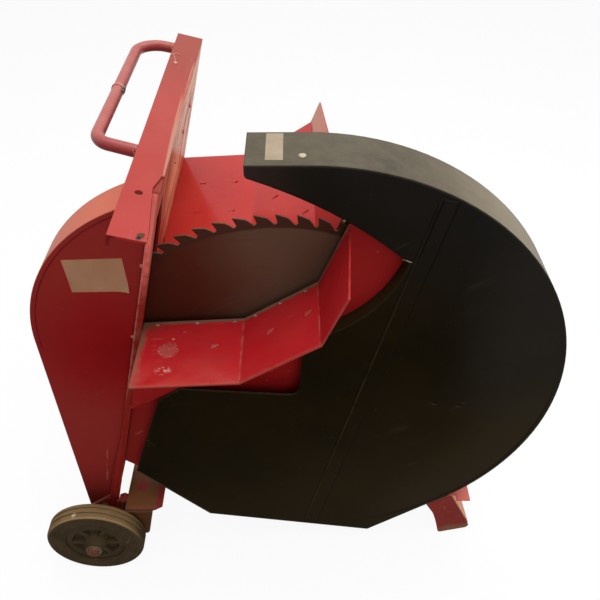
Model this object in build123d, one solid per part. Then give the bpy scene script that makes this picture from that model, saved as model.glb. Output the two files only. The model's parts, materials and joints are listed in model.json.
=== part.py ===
from build123d import *
import math
import os

# Rocking firewood saw. Lengths are in millimetres.
# Until the last section every place is measured from the blade's centre:
# X to the right, Y along the blade's axis and away from the short end of the cradle, Z up.

# Driving dimensions: place of the blade in the finished part
blade_x = -3.5
blade_y = -202.0
blade_z = 512.0
floor = -blade_z

# Blade and its clamping
blade_r = 362.0
blade_thickness = 3.0
tooth_count = 65
tooth_depth = 19.0
first_tooth = 90.3
arbor_r = 15.0
flange_r = 60.0
near_flange_y = -11.5
far_flange_y = 13.5
nut_y = -22.0
nut_across_flats = 46.0

# Rocker: pose, folded sheets and their ends along Y
lean = 14.0
sheet_t = 3.0
plate_t = 4.0
near_end = -173.0
far_end = 577.0
slot_half = 25.0
wall_top = (-168.0, 433.0)
wall_foot_z = 88.0
wall_near = -43.0
wall_slot_far = 57.0
wall_slot_top = 386.0
wall_shelf_width = 13.0
top_plate_width = 53.0
top_plate_lip = 18.0
near_cradle_end = -18.0
cradle_left_z = 146.0
cradle_bend = (-61.0, 155.0)
upright_foot = (68.0, 238.0)
upright_end = (116.0, 356.0)
near_upright_share = 0.79
far_upright_share = 0.42
rib_places = (180.0, 370.0, 560.0)

# Pivot and wheels share one axle
axle_xz = (-410.0, -408.0)
axle_r = 12.5
running_gap = 0.05
bush_r = 16.0
bush_length = 35.0
pivot_tube_r = 20.0
near_arm_y = (-48.0, -43.0)
near_arm_width = (12.5, 20.0)
near_boss_r = 33.0
near_arm_low = -360.0
far_arm_low = -345.0
far_arm_y = (350.0, 357.0)
pivot_tube_y = (-50.0, 359.0)
open_angle = 20.0
wheel_r = -floor + axle_xz[1]
tyre_inner_r = 64.0
tyre_width = 36.0
near_wheel_y = -110.0
far_wheel_y = 410.0
bracket_t = 6.0
near_bracket_y = -86.0
far_bracket_y = 380.0

# Guard over the blade
guard_center = (51.0, 12.0)
guard_r = 470.0
guard_t = 2.5
guard_near = -58.0
guard_far = 44.0
guard_tip_x = -43.0
guard_rim_end = -22.0
guard_arc_end = -55.5
guard_corner = (194.0, -474.0)
guard_heel = (-166.0, -403.0)
guard_left_low = (-306.0, -241.0)
guard_left_high = (-230.0, -18.0)
guard_shelf = (-188.0, 15.0)
mouth_center = (-10.0, 360.0)
mouth_r = 228.0
mouth_span = (-71.5, -14.0)
side_plate_r = 455.0

# Side housing
housing_center = (-137.0, 122.0)
housing_r = 295.5
housing_y = (-40.0, 37.5)
housing_t = 2.0

# Handle
handle_r = 11.0
handle_wall = 2.0
handle_z = 440.0
handle_root_z = 436.0
handle_root_x = -214.0
handle_grip_x = -295.5
handle_root_y = (67.0, 511.0)
handle_splay = 32.5
handle_bend_r = 40.0

# Frame
beam_h = 60.0
left_beam_x = (-345.0, -265.0)
left_beam_web_x = -301.0
left_beam_t = 5.0
left_beam_top = -350.0
right_beam_x = (345.0, 417.0)
right_beam_top = -362.0
right_beam_t = 4.0
cross_beam_y = (75.0, 290.0)
tube_wall = 4.0
leg_t = 4.0
leg_flange = (22.0, 27.0)
leg_turn = 10.0
near_leg_y = -45.0
far_leg_y = 420.0
pedestal_half = 100.0
pedestal_y = (75.0, 350.0)
pedestal_t = 5.0

# Motor, driving the blade directly
motor_foot_z = -100.0
motor_r = 92.0
motor_bore_r = 86.0
fin_r = 99.0
fin_count = 36
motor_y = (82.0, 300.0)
rotor_r = 58.0
air_gap = 0.5
shield_r = 96.0
cover_end = 392.0


# Helpers: outlines are drawn with X across and Z up
def slab(sketch, near, far):
    return extrude(Plane.XZ.offset(-near) * sketch, amount=far - near, dir=(0, 1, 0))


def outline(*points):
    return Polygon(*points, align=None)


def block(x, y, z):
    size = [high - low for low, high in (x, y, z)]
    middle = [(low + high) / 2 for low, high in (x, y, z)]
    return Pos(*middle) * Box(*size)


def rod(center, radius, near, far):
    return slab(Pos(*center) * Circle(radius), near, far)


def turned(*points):
    # Solid of revolution about the blade's axis, from points of radius and Y
    return revolve(outline(*points), axis=Axis.Y)


def folded(points, thickness):
    # Section of a bent sheet: the line is one face, the other lies to the right of its way
    path = [Vector(x, z) for x, z in points]
    other = []
    for i, point in enumerate(path):
        after = (path[min(i + 1, len(path) - 1)] - path[min(i, len(path) - 2)]).normalized()
        before = (path[max(i, 1)] - path[max(i - 1, 0)]).normalized()
        normal = Vector(before.Y + after.Y, -before.X - after.X)
        other.append(point + normal * (thickness / (1 + before.dot(after))))
    return outline(*[(p.X, p.Y) for p in path + other[::-1]])


def polar(center, radius, degrees):
    angle = math.radians(degrees)
    return (center[0] + radius * math.cos(angle), center[1] + radius * math.sin(angle))


def swung(point, degrees):
    # A point carried by the rocker when it opens
    angle = math.radians(degrees)
    x, z = point[0] - axle_xz[0], point[1] - axle_xz[1]
    return (axle_xz[0] + x * math.cos(angle) - z * math.sin(angle),
            axle_xz[1] + x * math.sin(angle) + z * math.cos(angle))


# The wall leans over the log: its right face, and steps along and across it
lean_tan = math.tan(math.radians(lean))
up_wall = (math.sin(math.radians(lean)), math.cos(math.radians(lean)))
left_of_wall = (-up_wall[1], up_wall[0])


def wall_at(z, left=0.0):
    x = wall_top[0] - (wall_top[1] - z) * lean_tan
    return (x + left * left_of_wall[0], z + left * left_of_wall[1])


nodes = {}

# Rocker wall and top plate
plate_left = (wall_top[0] + top_plate_width * left_of_wall[0],
              wall_top[1] + top_plate_width * left_of_wall[1])
lip_end = (plate_left[0] - top_plate_lip * up_wall[0], plate_left[1] - top_plate_lip * up_wall[1])
plate = slab(folded([lip_end, plate_left, wall_top], plate_t), near_end, far_end)
plate_notch = Polyline((-166, near_end - 1), (-180, -40), (-172, -3), (-150, -3), (-150, near_end - 1),
                       close=True)
plate -= extrude(Pos(0, 0, 400) * make_face(plate_notch), amount=80)
nodes["top_plate"] = plate - Pos(-196.5, -59.5, 437) * Cylinder(6, 30)
wall_start = (wall_top[0] - plate_t * up_wall[0], wall_top[1] - plate_t * up_wall[1])
wall = slab(folded([wall_start, wall_at(wall_foot_z)], sheet_t), wall_near, far_end)
wall_slot = Polyline((-400, wall_near - 1, 0), (-400, wall_slot_far, 0), (-400, wall_slot_far, 303),
                     (-400, 31, 364), (-400, 20, wall_slot_top), (-400, wall_near - 1, wall_slot_top),
                     close=True)
wall_shelf = outline(wall_start, wall_at(wall_start[1], wall_shelf_width),
                     wall_at(wall_start[1] - sheet_t, wall_shelf_width), wall_at(wall_start[1] - sheet_t))
wall += slab(wall_shelf, wall_near, 0)
nodes["rocker_wall"] = wall - extrude(make_face(wall_slot), amount=300, dir=(1, 0, 0))

# Cradle sheets: two bends and an upright end that falls away from the blade
cradle_left = wall_at(cradle_left_z)
cradle_line = [cradle_left, cradle_bend, upright_foot, upright_end]
cradle_section = folded(cradle_line, sheet_t)


def cradle(near, far, y_full, y_low, share):
    foot, end = Vector(*upright_foot), Vector(*upright_end)
    reach = end - foot
    trim = []
    for part, y in ((1.0, y_full), (1.6, y_full), (1.6, y_low), (share, y_low)):
        point = foot + reach * part
        trim.append((point.X, y, point.Y))
    cutter = extrude(make_face(Polyline(*trim, close=True)), amount=6 * sheet_t, both=True)
    return slab(cradle_section, near, far) - cutter


plate_near = -slot_half - sheet_t
plate_far = slot_half + sheet_t
nodes["near_cradle"] = cradle(near_end, near_cradle_end, near_cradle_end, near_end, near_upright_share)
nodes["far_cradle"] = cradle(plate_far, far_end, plate_far, far_end, far_upright_share)

# Side plates under the cradle, on both sides of the blade
plate_rise = math.sqrt(side_plate_r**2 - (upright_end[0] - guard_center[0])**2)
plate_top = (upright_end[0], guard_center[1] + plate_rise)
plate_low = polar(guard_center, side_plate_r, -50)
side_plate = make_face([
    Polyline(*cradle_line, plate_top),
    ThreePointArc(plate_top, polar(guard_center, side_plate_r, 10), plate_low),
    Polyline(plate_low, (186, -458), (-160, -390), wall_at(-243), cradle_left),
])
nodes["near_plate"] = slab(side_plate, plate_near, -slot_half) - nodes["near_cradle"]
shaft_reach = math.hypot(*axle_xz)
shaft_angle = math.degrees(math.atan2(-axle_xz[1], -axle_xz[0]))
shaft_way = CenterArc(axle_xz, shaft_reach, shaft_angle - open_angle - 1, open_angle + 2)
nodes["far_plate"] = slab(side_plate - SlotArc(shaft_way, 2 * slot_half), slot_half, plate_far)

# Gusset of the short cradle and ribs of the long one
gusset = outline(wall_at(144.5), wall_at(-45), (-191, 8), (-120, 48), (-120, 150.5))
nodes["near_gusset"] = slab(gusset - cradle_section, -54, -50)
rib = outline(wall_at(144.5), wall_at(wall_foot_z + 4), (-62, 118), (30, 195), (30, 212), (-60.7, 153.5))
ribs = [slab(rib - cradle_section, y, y + plate_t) for y in rib_places]
nodes["cradle_ribs"] = Compound(children=ribs)


# Arms from the wall down to the pivot
def arm_faces(width, gap, top, low, boss_r):
    bar = outline(wall_at(top, gap), wall_at(low, gap), wall_at(low, gap + width), wall_at(top, gap + width))
    boss = Pos(*axle_xz) * Circle(boss_r)
    end = Line(wall_at(low + 10, gap), wall_at(low + 10, gap + width))
    return bar, make_hull(boss.edges() + [end])


def arm(bar, foot, y):
    return slab(bar, *y) + slab(foot, *y) - rod(axle_xz, pivot_tube_r, *y)


slim, wide = near_arm_width
slimmer = outline(wall_at(440, slim), wall_at(-150, slim), wall_at(-250, wide), wall_at(440, wide))
near_bar, near_foot = arm_faces(wide, 0, 428.8, near_arm_low, near_boss_r)
nodes["near_arm"] = arm(near_bar - slimmer, near_foot, near_arm_y)
nodes["far_arm"] = arm(*arm_faces(45, sheet_t, 320, far_arm_low, 30), far_arm_y)
nodes["pivot_tube"] = rod(axle_xz, pivot_tube_r, *pivot_tube_y) - rod(axle_xz, bush_r, *pivot_tube_y)
bushes = []
bush_spans = ((pivot_tube_y[0], pivot_tube_y[0] + bush_length),
              (pivot_tube_y[1] - bush_length, pivot_tube_y[1]))
for near, far in bush_spans:
    bushes.append(rod(axle_xz, bush_r, near, far) - rod(axle_xz, axle_r + running_gap, near, far))
nodes["pivot_bushes"] = Compound(children=bushes)


# Teardrop housing over the blade's left side, open towards the wall
wall_gap = sheet_t + 0.3


def behind_wall(z):
    return wall_at(z - wall_gap * left_of_wall[1], wall_gap)[0]


def teardrop(inset, right):
    radius, end_r = housing_r - inset, pivot_tube_r + 6 - inset
    crown_z = housing_center[1] + radius
    for _ in range(4):
        crown_x = behind_wall(crown_z) + right
        crown_z = housing_center[1] + math.sqrt(radius**2 - (crown_x - housing_center[0])**2)
    crown = (crown_x, crown_z)
    shoulder = polar(housing_center, radius, 180)
    end_left, end_right = polar(axle_xz, end_r, 180), polar(axle_xz, end_r, 0)
    return make_face([
        ThreePointArc(crown, polar(housing_center, radius, 140), shoulder),
        Line(shoulder, end_left),
        ThreePointArc(end_left, polar(axle_xz, end_r, 270), end_right),
        Polyline(end_right, (behind_wall(-345) + right, -345), crown),
    ])


housing = slab(teardrop(0, 0), *housing_y)
housing -= slab(teardrop(housing_t, 12), housing_y[0] + housing_t, housing_y[1] - housing_t)
nodes["side_housing"] = housing - rod(axle_xz, pivot_tube_r + 0.3, *housing_y)

# Blade guard: face with a mouth for the log, rim over the teeth, hems and a lip at the mouth
guard_top = guard_center[1] + guard_r
arc_end = polar(guard_center, guard_r, guard_arc_end)
mouth_low, mouth_middle, mouth_corner = [
    polar(mouth_center, mouth_r, turn) for turn in (mouth_span[0], sum(mouth_span) / 2, mouth_span[1])]
guard_face = make_face([
    Line((guard_tip_x, guard_top), (guard_center[0], guard_top)),
    ThreePointArc((guard_center[0], guard_top), polar(guard_center, guard_r, 10), arc_end),
    Polyline(arc_end, guard_corner, guard_heel, guard_left_low, guard_left_high, guard_shelf, (16, -3)),
    RadiusArc((16, -3), (36, 17), -20),
    Polyline((36, 17), (41, 94), mouth_low),
    ThreePointArc(mouth_low, mouth_middle, mouth_corner),
    ThreePointArc(mouth_corner, (67, 411.5), (-37, 460)),
    ThreePointArc((-37, 460), (-41.2, 462.4), (guard_tip_x, 467)),
    Line((guard_tip_x, 467), (guard_tip_x, guard_top)),
])
for place in ((294, -29.5), (343.5, -37.5)):
    guard_face -= Pos(*place) * SlotOverall(10, 5.5)
face_back = guard_near + guard_t
rim_out, rim_in = (polar(guard_center, r, guard_rim_end) for r in (guard_r, guard_r - guard_t))
rim = make_face([
    Line((guard_tip_x, guard_top), (guard_center[0], guard_top)),
    ThreePointArc((guard_center[0], guard_top), polar(guard_center, guard_r, 30), rim_out),
    Line(rim_out, rim_in),
    ThreePointArc(rim_in, polar(guard_center, guard_r - guard_t, 30),
                  (guard_center[0], guard_top - guard_t)),
    Polyline((guard_center[0], guard_top - guard_t), (guard_tip_x, guard_top - guard_t),
             (guard_tip_x, guard_top)),
])
hem = folded([arc_end, guard_corner, guard_heel, guard_left_low, (-236, -36)], guard_t)
mouth_ring = Pos(*mouth_center) * (Circle(mouth_r + guard_t) - Circle(mouth_r))
mouth_lip = mouth_ring & outline(mouth_low, mouth_corner, (260, 250), (100, 100))
guard = slab(guard_face, guard_near, face_back) + slab(rim, face_back, guard_far)
guard += slab(hem, face_back, face_back + 10)
nodes["blade_guard"] = guard + slab(mouth_lip, face_back, plate_near)
strip_top, strip_low = (260, 424), (63, -428)
strip_turn = math.degrees(math.atan2(strip_top[1] - strip_low[1], strip_top[0] - strip_low[0]))
strip_middle = ((strip_top[0] + strip_low[0]) / 2, (strip_top[1] + strip_low[1]) / 2)
strip_length = math.dist(strip_top, strip_low)
strip = Pos(*strip_middle) * Rot(0, 0, strip_turn) * Rectangle(strip_length, 30)
nodes["guard_joint_strip"] = slab(strip, guard_near - 1.5, guard_near)
spacer_places = ((-150, -90), (-60, -340), (180, -380), (330, -120), (330, 200), (220, 380))
nodes["guard_spacers"] = Compound(children=[rod(p, 8, face_back, plate_near) for p in spacer_places])

# Handle tube on the lip of the top plate
handle_path = FilletPolyline(
    (handle_root_x, handle_root_y[1], handle_root_z),
    (handle_grip_x, handle_root_y[1] + handle_splay, handle_z),
    (handle_grip_x, handle_root_y[0] + handle_splay, handle_z),
    (handle_root_x, handle_root_y[0], handle_root_z),
    radius=handle_bend_r)
tube_ring = Circle(handle_r) - Circle(handle_r - handle_wall)
tube_face = Plane(handle_path @ 0, z_dir=handle_path % 0) * tube_ring
lip_face = [(plate_left[0] + reach * up_wall[0], plate_left[1] + reach * up_wall[1]) for reach in (-60, 40)]
right_of_lip = outline(*lip_face, (lip_face[1][0] + 60, lip_face[1][1]),
                       (lip_face[0][0] + 60, lip_face[0][1]))
nodes["handle"] = sweep(tube_face, path=handle_path) - slab(right_of_lip, near_end, far_end)


# Saw blade: each tooth has an undercut face on the side that leads, then a round gullet and a long back.
# The profile gives shares of the pitch, ahead of the tip, and of the depth below it.
tooth_profile = ((0, 0), (-0.11, 0.8), (-0.06, 0.95), (0.03, 1), (0.09, 0.97), (0.2, 0.72), (0.4, 0.37),
                 (0.67, 0.2))


def blade_outline():
    step = 360 / tooth_count
    points = []
    for i in range(tooth_count):
        for ahead, below in tooth_profile:
            points.append(polar((0, 0), blade_r - below * tooth_depth, first_tooth + (i + ahead) * step))
    return outline(*points) - Circle(arbor_r)


half_blade = blade_thickness / 2
nodes["saw_blade"] = slab(blade_outline(), -half_blade, half_blade)
nodes["outer_flange"] = turned((arbor_r, near_flange_y), (38, near_flange_y), (flange_r, -5),
                               (flange_r, -half_blade), (arbor_r, -half_blade))
nodes["inner_flange"] = turned((arbor_r, half_blade), (flange_r, half_blade), (flange_r, 6),
                               (30, far_flange_y), (arbor_r, far_flange_y))
nut = slab(RegularPolygon(nut_across_flats / 2, 6, major_radius=False), nut_y, near_flange_y)
nodes["blade_nut"] = nut - rod((0, 0), 12, nut_y, near_flange_y)

# Shaft in one piece: thread, arbor, collar, bearing seats, rotor seat and fan seat
drive_bearing_y = (50.0, 67.0)
fan_bearing_y = (302.0, 318.0)
drive_seat_r = 17.5
fan_seat_r = 15.0
rotor_seat_r = 22.0
rotor_y = (120.0, 260.0)
end_play = 0.3
shaft_steps = ((12.0, nut_y - 1.5), (arbor_r, near_flange_y), (19.0, far_flange_y),
               (drive_seat_r, drive_bearing_y[0] - end_play), (20.0, drive_bearing_y[1] + end_play),
               (rotor_seat_r, rotor_y[0] - 5), (18.0, rotor_y[1]),
               (fan_seat_r, fan_bearing_y[0] - end_play), (11.0, fan_bearing_y[1] + 8))
shaft_end = 370.0
shaft_line = [(0, shaft_steps[0][1])]
for (radius, y), y_next in zip(shaft_steps, [step[1] for step in shaft_steps[1:]] + [shaft_end]):
    shaft_line += [(radius, y), (radius, y_next)]
nodes["motor_shaft"] = turned(*shaft_line, (0, shaft_end))
nodes["rotor_core"] = rod((0, 0), rotor_r, *rotor_y) - rod((0, 0), rotor_seat_r, *rotor_y)
fan_y = (334.0, 337.0)
fan = rod((0, 0), 72, *fan_y) + rod((0, 0), 18, fan_y[1], 360)
for i in range(9):
    fan += Rot(0, 40 * i, 0) * block((17, 72), (fan_y[1], 362), (-1.5, 1.5))
nodes["cooling_fan"] = fan - rod((0, 0), 11, fan_y[0], 362)

# Motor: finned housing with feet, stator, end shields, bearings and fan cover
housing = rod((0, 0), motor_r, *motor_y)
for i in range(fin_count):
    turn = i * 360 / fin_count
    if not 235 < turn < 305:
        fin = block((motor_r - 2, fin_r), (motor_y[0] + 6, motor_y[1] - 6), (-1.5, 1.5))
        housing += Rot(0, -turn, 0) * fin
for side in (-1, 1):
    edges = sorted((side * 45, side * 85))
    housing += block(edges, (115, 265), (motor_foot_z, motor_foot_z + 14))
    edges = sorted((side * 40, side * 62))
    housing += block(edges, (125, 255), (motor_foot_z + 14, -60))
bolt_places = [(side * 74, y) for side in (-1, 1) for y in (135, 245)]
bolt_r = 6.0
for x, y in bolt_places:
    housing -= Pos(x, y, motor_foot_z + 7) * Cylinder(bolt_r, 16)
nodes["motor_housing"] = housing - rod((0, 0), motor_bore_r, *motor_y)
nodes["stator_core"] = rod((0, 0), motor_bore_r, 112, 268) - rod((0, 0), rotor_r + air_gap, 112, 268)
nodes["drive_end_shield"] = turned(
    (19.6, 44), (50, 44), (54, 64), (88, 66), (shield_r, 70), (shield_r, motor_y[0]), (80, motor_y[0]),
    (80, 74), (44, 74), (44, drive_bearing_y[1]), (36, drive_bearing_y[1]), (36, drive_bearing_y[0]),
    (19.6, drive_bearing_y[0]))
nodes["fan_end_shield"] = turned(
    (15.6, 322), (shield_r, 322), (shield_r, motor_y[1]), (80, motor_y[1]), (80, 312), (40, 312),
    (40, fan_bearing_y[0]), (31, fan_bearing_y[0]), (31, fan_bearing_y[1]), (15.6, fan_bearing_y[1]))
bearings = (("drive_bearing", 36, drive_seat_r, drive_bearing_y),
            ("fan_bearing", 31, fan_seat_r, fan_bearing_y))
for name, outer, seat, y in bearings:
    nodes[name] = rod((0, 0), outer, *y) - rod((0, 0), seat + running_gap, *y)
cover = rod((0, 0), shield_r + 2, 322, cover_end) - rod((0, 0), shield_r, 322, cover_end - 2)
for ring_r, count in ((26, 10), (46, 18), (66, 26)):
    for i in range(count):
        cover -= rod(polar((0, 0), ring_r, i * 360 / count), 5, cover_end - 2, cover_end)
nodes["fan_cover"] = cover

# Terminal box on the motor's right side, its lid and the cable gland
box_x, box_y, box_z = (100.0, 142.0), (135.0, 235.0), (-42.0, 42.0)
saddle = block((80, box_x[0]), (145, 225), (-32, 32)) - rod((0, 0), fin_r + 0.4, 140, 230)
terminal = block(box_x, box_y, box_z) + saddle
terminal -= block((box_x[0] + 3, box_x[1]), (box_y[0] + 3, box_y[1] - 3), (box_z[0] + 3, box_z[1] - 3))
gland_y = 185.0
nodes["terminal_box"] = terminal - Pos(122, gland_y, box_z[0]) * Cylinder(8, 10)
lid = block((box_x[1], box_x[1] + 5), (box_y[0] - 2, box_y[1] + 2), (box_z[0] - 2, box_z[1] + 2))
nodes["terminal_lid"] = fillet(lid.edges().filter_by(Axis.X), 8)
gland = Pos(122, gland_y, box_z[0] - 7) * extrude(RegularPolygon(13, 6), amount=7)
gland += Pos(122, gland_y, box_z[0] - 16) * Cylinder(10, 20)
gland += Pos(122, gland_y, box_z[0] + 2) * Cylinder(8, 6)
nodes["cable_gland"] = gland - Pos(122, gland_y, box_z[0] - 10) * Cylinder(6, 40)

# Frame: beams, legs and pedestal
def tube_beam(x, y, z, along):
    hollow = [(low + tube_wall, high - tube_wall) for low, high in (x, y, z)]
    hollow[along] = (x, y, z)[along]
    return block(x, y, z) - block(*hollow)


left_beam_y = (near_bracket_y + bracket_t, far_bracket_y)
left_web_top = left_beam_top - left_beam_t
beam = block(left_beam_x, left_beam_y, (left_web_top, left_beam_top))
corner = Polyline((left_beam_x[1] - 16, left_beam_y[0]), (left_beam_x[1], left_beam_y[0]),
                  (left_beam_x[1], left_beam_y[0] + 9), close=True)
beam -= extrude(Pos(0, 0, left_web_top) * make_face(corner), amount=left_beam_t)
for web_x in (left_beam_x[0], left_beam_web_x - left_beam_t):
    beam += block((web_x, web_x + left_beam_t), left_beam_y, (left_beam_top - beam_h, left_web_top))
nodes["left_beam"] = beam
right_low = right_beam_top - right_beam_t
right_beam_y = (near_leg_y + leg_t, far_leg_y - leg_t)
leg_edge = 388.0
right_web = block((right_beam_x[0], right_beam_x[0] + right_beam_t), right_beam_y,
                  (right_beam_top - beam_h, right_beam_top))
right_flange = block(right_beam_x, right_beam_y, (right_low, right_beam_top))
right_flange += block((leg_edge, right_beam_x[1]), (near_leg_y - 10, far_leg_y + 10),
                      (right_low, right_beam_top))
nodes["right_beam"] = right_web + right_flange
cross_z = (right_beam_top - beam_h, right_beam_top)
for name, near in zip(("front_cross_beam", "rear_cross_beam"), cross_beam_y):
    nodes[name] = tube_beam((left_beam_web_x, right_beam_x[0]), (near, near + beam_h), cross_z, 0)


def leg():
    # Splayed plate with round toes; a flange is folded back along its outer edge and runs out at the sole
    sole = (366, 446)
    waist = (341, -421)
    web = make_face([
        Polyline(waist, (322, -384), (322, right_low), (378, right_low), (sole[1], floor), (sole[0], floor)),
        ThreePointArc((sole[0], floor), (352, -455), waist),
    ])
    web = fillet(web.vertices().sort_by(Axis.Y)[:2], 9)
    fold = Polyline((378, leg_t, right_low - 1), (378 + leg_flange[0], leg_t + leg_flange[1], right_low - 1),
                    (sole[1] - 7, leg_t, floor + 15), close=True)
    solid = slab(web, 0, leg_t) + extrude(make_face(fold), amount=leg_t / 2, both=True)
    return Pos(sole[0], 0, 0) * Rot(0, 0, leg_turn) * Pos(-sole[0], 0, 0) * solid


nodes["near_leg"] = Pos(0, near_leg_y, 0) * leg()
nodes["far_leg"] = Pos(0, far_leg_y, 0) * mirror(leg(), about=Plane.XZ)
pedestal_x = (-pedestal_half, pedestal_half)
pedestal = block(pedestal_x, pedestal_y, (right_beam_top, motor_foot_z))
pedestal -= block((-pedestal_half + pedestal_t, pedestal_half - pedestal_t),
                  (pedestal_y[0] + pedestal_t, pedestal_y[1] - pedestal_t),
                  (right_beam_top, motor_foot_z - pedestal_t))
for x, y in bolt_places:
    pedestal -= Pos(x, y, motor_foot_z - pedestal_t / 2) * Cylinder(bolt_r, pedestal_t + 2)
nodes["motor_pedestal"] = pedestal
bolts = []
for x, y in bolt_places:
    shank = Pos(x, y, motor_foot_z + 2) * Cylinder(bolt_r, 24)
    head = Pos(x, y, motor_foot_z + 14) * extrude(RegularPolygon(10, 6), amount=8)
    nut = Pos(x, y, motor_foot_z - pedestal_t - 9) * extrude(RegularPolygon(10, 6), amount=9)
    bolts.append(shank + head + nut)
nodes["motor_bolts"] = Compound(children=bolts)

# Stops for the rocker: a block with a cheek on the left beam when it closes,
# a pin with a rubber sleeve when it opens
sleeve_r = 7.0
pin_r = 4.0
stop_gap = 0.7
stop_lap = 4.0
stop_y = (-56.0, -38.0)
stop_face = outline((-380, -405), (left_beam_x[0], -405), (left_beam_x[0], -355), (-352.5, -349),
                    (-380, -364))
stop_block = stop_face - offset(near_bar, stop_gap) - offset(near_foot, stop_gap)
stop_cheek = stop_face - offset(near_bar, -stop_lap) - offset(near_foot, -stop_lap)
nodes["close_stop"] = slab(stop_block, *stop_y) + slab(stop_cheek, stop_y[0], near_arm_y[0] - stop_gap)
open_stop = swung(wall_at(-300, sheet_t + 45 + sleeve_r + stop_gap), open_angle)
nodes["open_stop_pin"] = rod(open_stop, pin_r, 343, far_bracket_y)
nodes["open_stop_sleeve"] = rod(open_stop, sleeve_r, 344, 374) - rod(open_stop, pin_r, 344, 374)


# Axle brackets on the ends of the left beam, the far one with an ear for the stop pin
def bracket(near):
    beam_end = Polyline((left_beam_x[0], left_beam_top - 2), (-284, left_beam_top - 2),
                        (-301, -429), (-306, -436))
    boss = Pos(*axle_xz) * Circle(26)
    face = make_hull(beam_end.edges() + boss.edges())
    return slab(face - Pos(*axle_xz) * Circle(axle_r), near, near + bracket_t)


nodes["near_axle_bracket"] = bracket(near_bracket_y)
ear = make_hull((Pos(*axle_xz) * Circle(26)).edges() + (Pos(*open_stop) * Circle(10)).edges())
ear_plate = slab(ear - Pos(*axle_xz) * Circle(axle_r), far_bracket_y, far_bracket_y + bracket_t)
nodes["far_axle_bracket"] = bracket(far_bracket_y) + ear_plate

# Axle, the spacers that hold the pivot tube in place, washers and caps
hub_inner = 20.0
hub_outer = 32.0
hub_ribs = 6
hub_rib_half = 4.5
washer_t = 2.5
washer_gap = 0.4
axle_ends = (near_wheel_y - hub_outer - 6, far_wheel_y + hub_outer + 6)
nodes["axle"] = rod(axle_xz, axle_r, *axle_ends)
spacer_spans = ((near_bracket_y + bracket_t, pivot_tube_y[0] - 0.4), (pivot_tube_y[1] + 0.4, far_bracket_y))
spacers = [rod(axle_xz, 17, *span) - rod(axle_xz, axle_r, *span) for span in spacer_spans]
nodes["pivot_spacers"] = Compound(children=spacers)
washers = []
for center, outward in ((near_wheel_y, -1), (far_wheel_y, 1)):
    for reach in (hub_outer + washer_gap, -hub_inner - washer_gap - washer_t):
        near, far = sorted((center + outward * reach, center + outward * (reach + washer_t)))
        washers.append(rod(axle_xz, 17, near, far) - rod(axle_xz, axle_r, near, far))
nodes["axle_washers"] = Compound(children=washers)
caps = []
for end, side in zip(axle_ends, (-1, 1)):
    cap = turned((0, 0), (12, 0), (12, 3), (8, 6), (0, 6))
    caps.append(Pos(axle_xz[0], end, axle_xz[1]) * (cap if side > 0 else Rot(180, 0, 0) * cap))
nodes["axle_caps"] = Compound(children=caps)


# Wheels: solid tyre with two tread grooves, hub with ribs across its dished web and a long outer boss
def tyre(center):
    half = tyre_width / 2
    section = RectangleRounded(wheel_r - tyre_inner_r, tyre_width, 7)
    section = Pos((wheel_r + tyre_inner_r) / 2, 0) * section
    section += Pos(tyre_inner_r + 10, 0) * Rectangle(20, tyre_width)
    for place in (-half / 3, half / 3):
        section -= Pos(wheel_r, place) * Rectangle(4, 2.5)
    return Pos(axle_xz[0], center, axle_xz[1]) * revolve(section, axis=Axis.Y)


def hub(center, flip):
    # Drawn with its outer side towards the short end of the cradle
    bore = axle_r + running_gap
    half = tyre_width / 2
    body = turned((bore, -hub_outer), (19, -hub_outer), (24, -half + 3), (28, -5), (47, -5), (51, -half + 3),
                  (tyre_inner_r, -half + 3), (tyre_inner_r, half - 3), (56, half - 3), (52, 4), (24, 4),
                  (24, hub_inner), (bore, hub_inner))
    rib = block((23, 52), (-half + 3, -4), (-hub_rib_half, hub_rib_half))
    for i in range(hub_ribs):
        body += Rot(0, i * 360 / hub_ribs, 0) * rib
    return Pos(axle_xz[0], center, axle_xz[1]) * Rot(flip, 0, 0) * body


for name, center, flip in (("near", near_wheel_y, 0), ("far", far_wheel_y, 180)):
    nodes[name + "_tyre"] = tyre(center)
    nodes[name + "_hub"] = hub(center, flip)

# Switch box on the pedestal's far side, with a start and a stop button
switch_x, switch_y, switch_z = (-45.0, 45.0), (350.0, 400.0), (-260.0, -130.0)
switch = block(switch_x, switch_y, switch_z)
switch = fillet(switch.edges().filter_by(Axis.Y), 6)
switch -= block((-42, 42), (353, 397), (-257, -133))
button_z = {"start_button": -165.0, "stop_button": -222.0}
for z in button_z.values():
    switch -= rod((0, z), 11.4, 396, 401)
nodes["switch_box"] = switch
nodes["start_button"] = rod((0, button_z["start_button"]), 11, 384, 407)
stop = rod((0, button_z["stop_button"]), 11, 384, 406)
nodes["stop_button"] = stop + rod((0, button_z["stop_button"]), 18, 406, 414)

# Writing: everything goes to its place above the floor
os.makedirs("parts", exist_ok=True)
place = Location((blade_x, blade_y, blade_z))
low, high = [1e9] * 3, [-1e9] * 3
for name, shape in nodes.items():
    placed = shape.moved(place)
    export_step(placed, f"parts/{name}.step")
    box = placed.bounding_box()
    low = [min(a, b) for a, b in zip(low, tuple(box.min))]
    high = [max(a, b) for a, b in zip(high, tuple(box.max))]
print("nodes", len(nodes))
print("box", [round(v, 1) for v in low], [round(v, 1) for v in high])
print("pivot", round(axle_xz[0] + blade_x, 1), round(axle_xz[1] + blade_z, 1))
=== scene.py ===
import bpy
import bmesh
import json
import math
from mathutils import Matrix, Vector, noise


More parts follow.
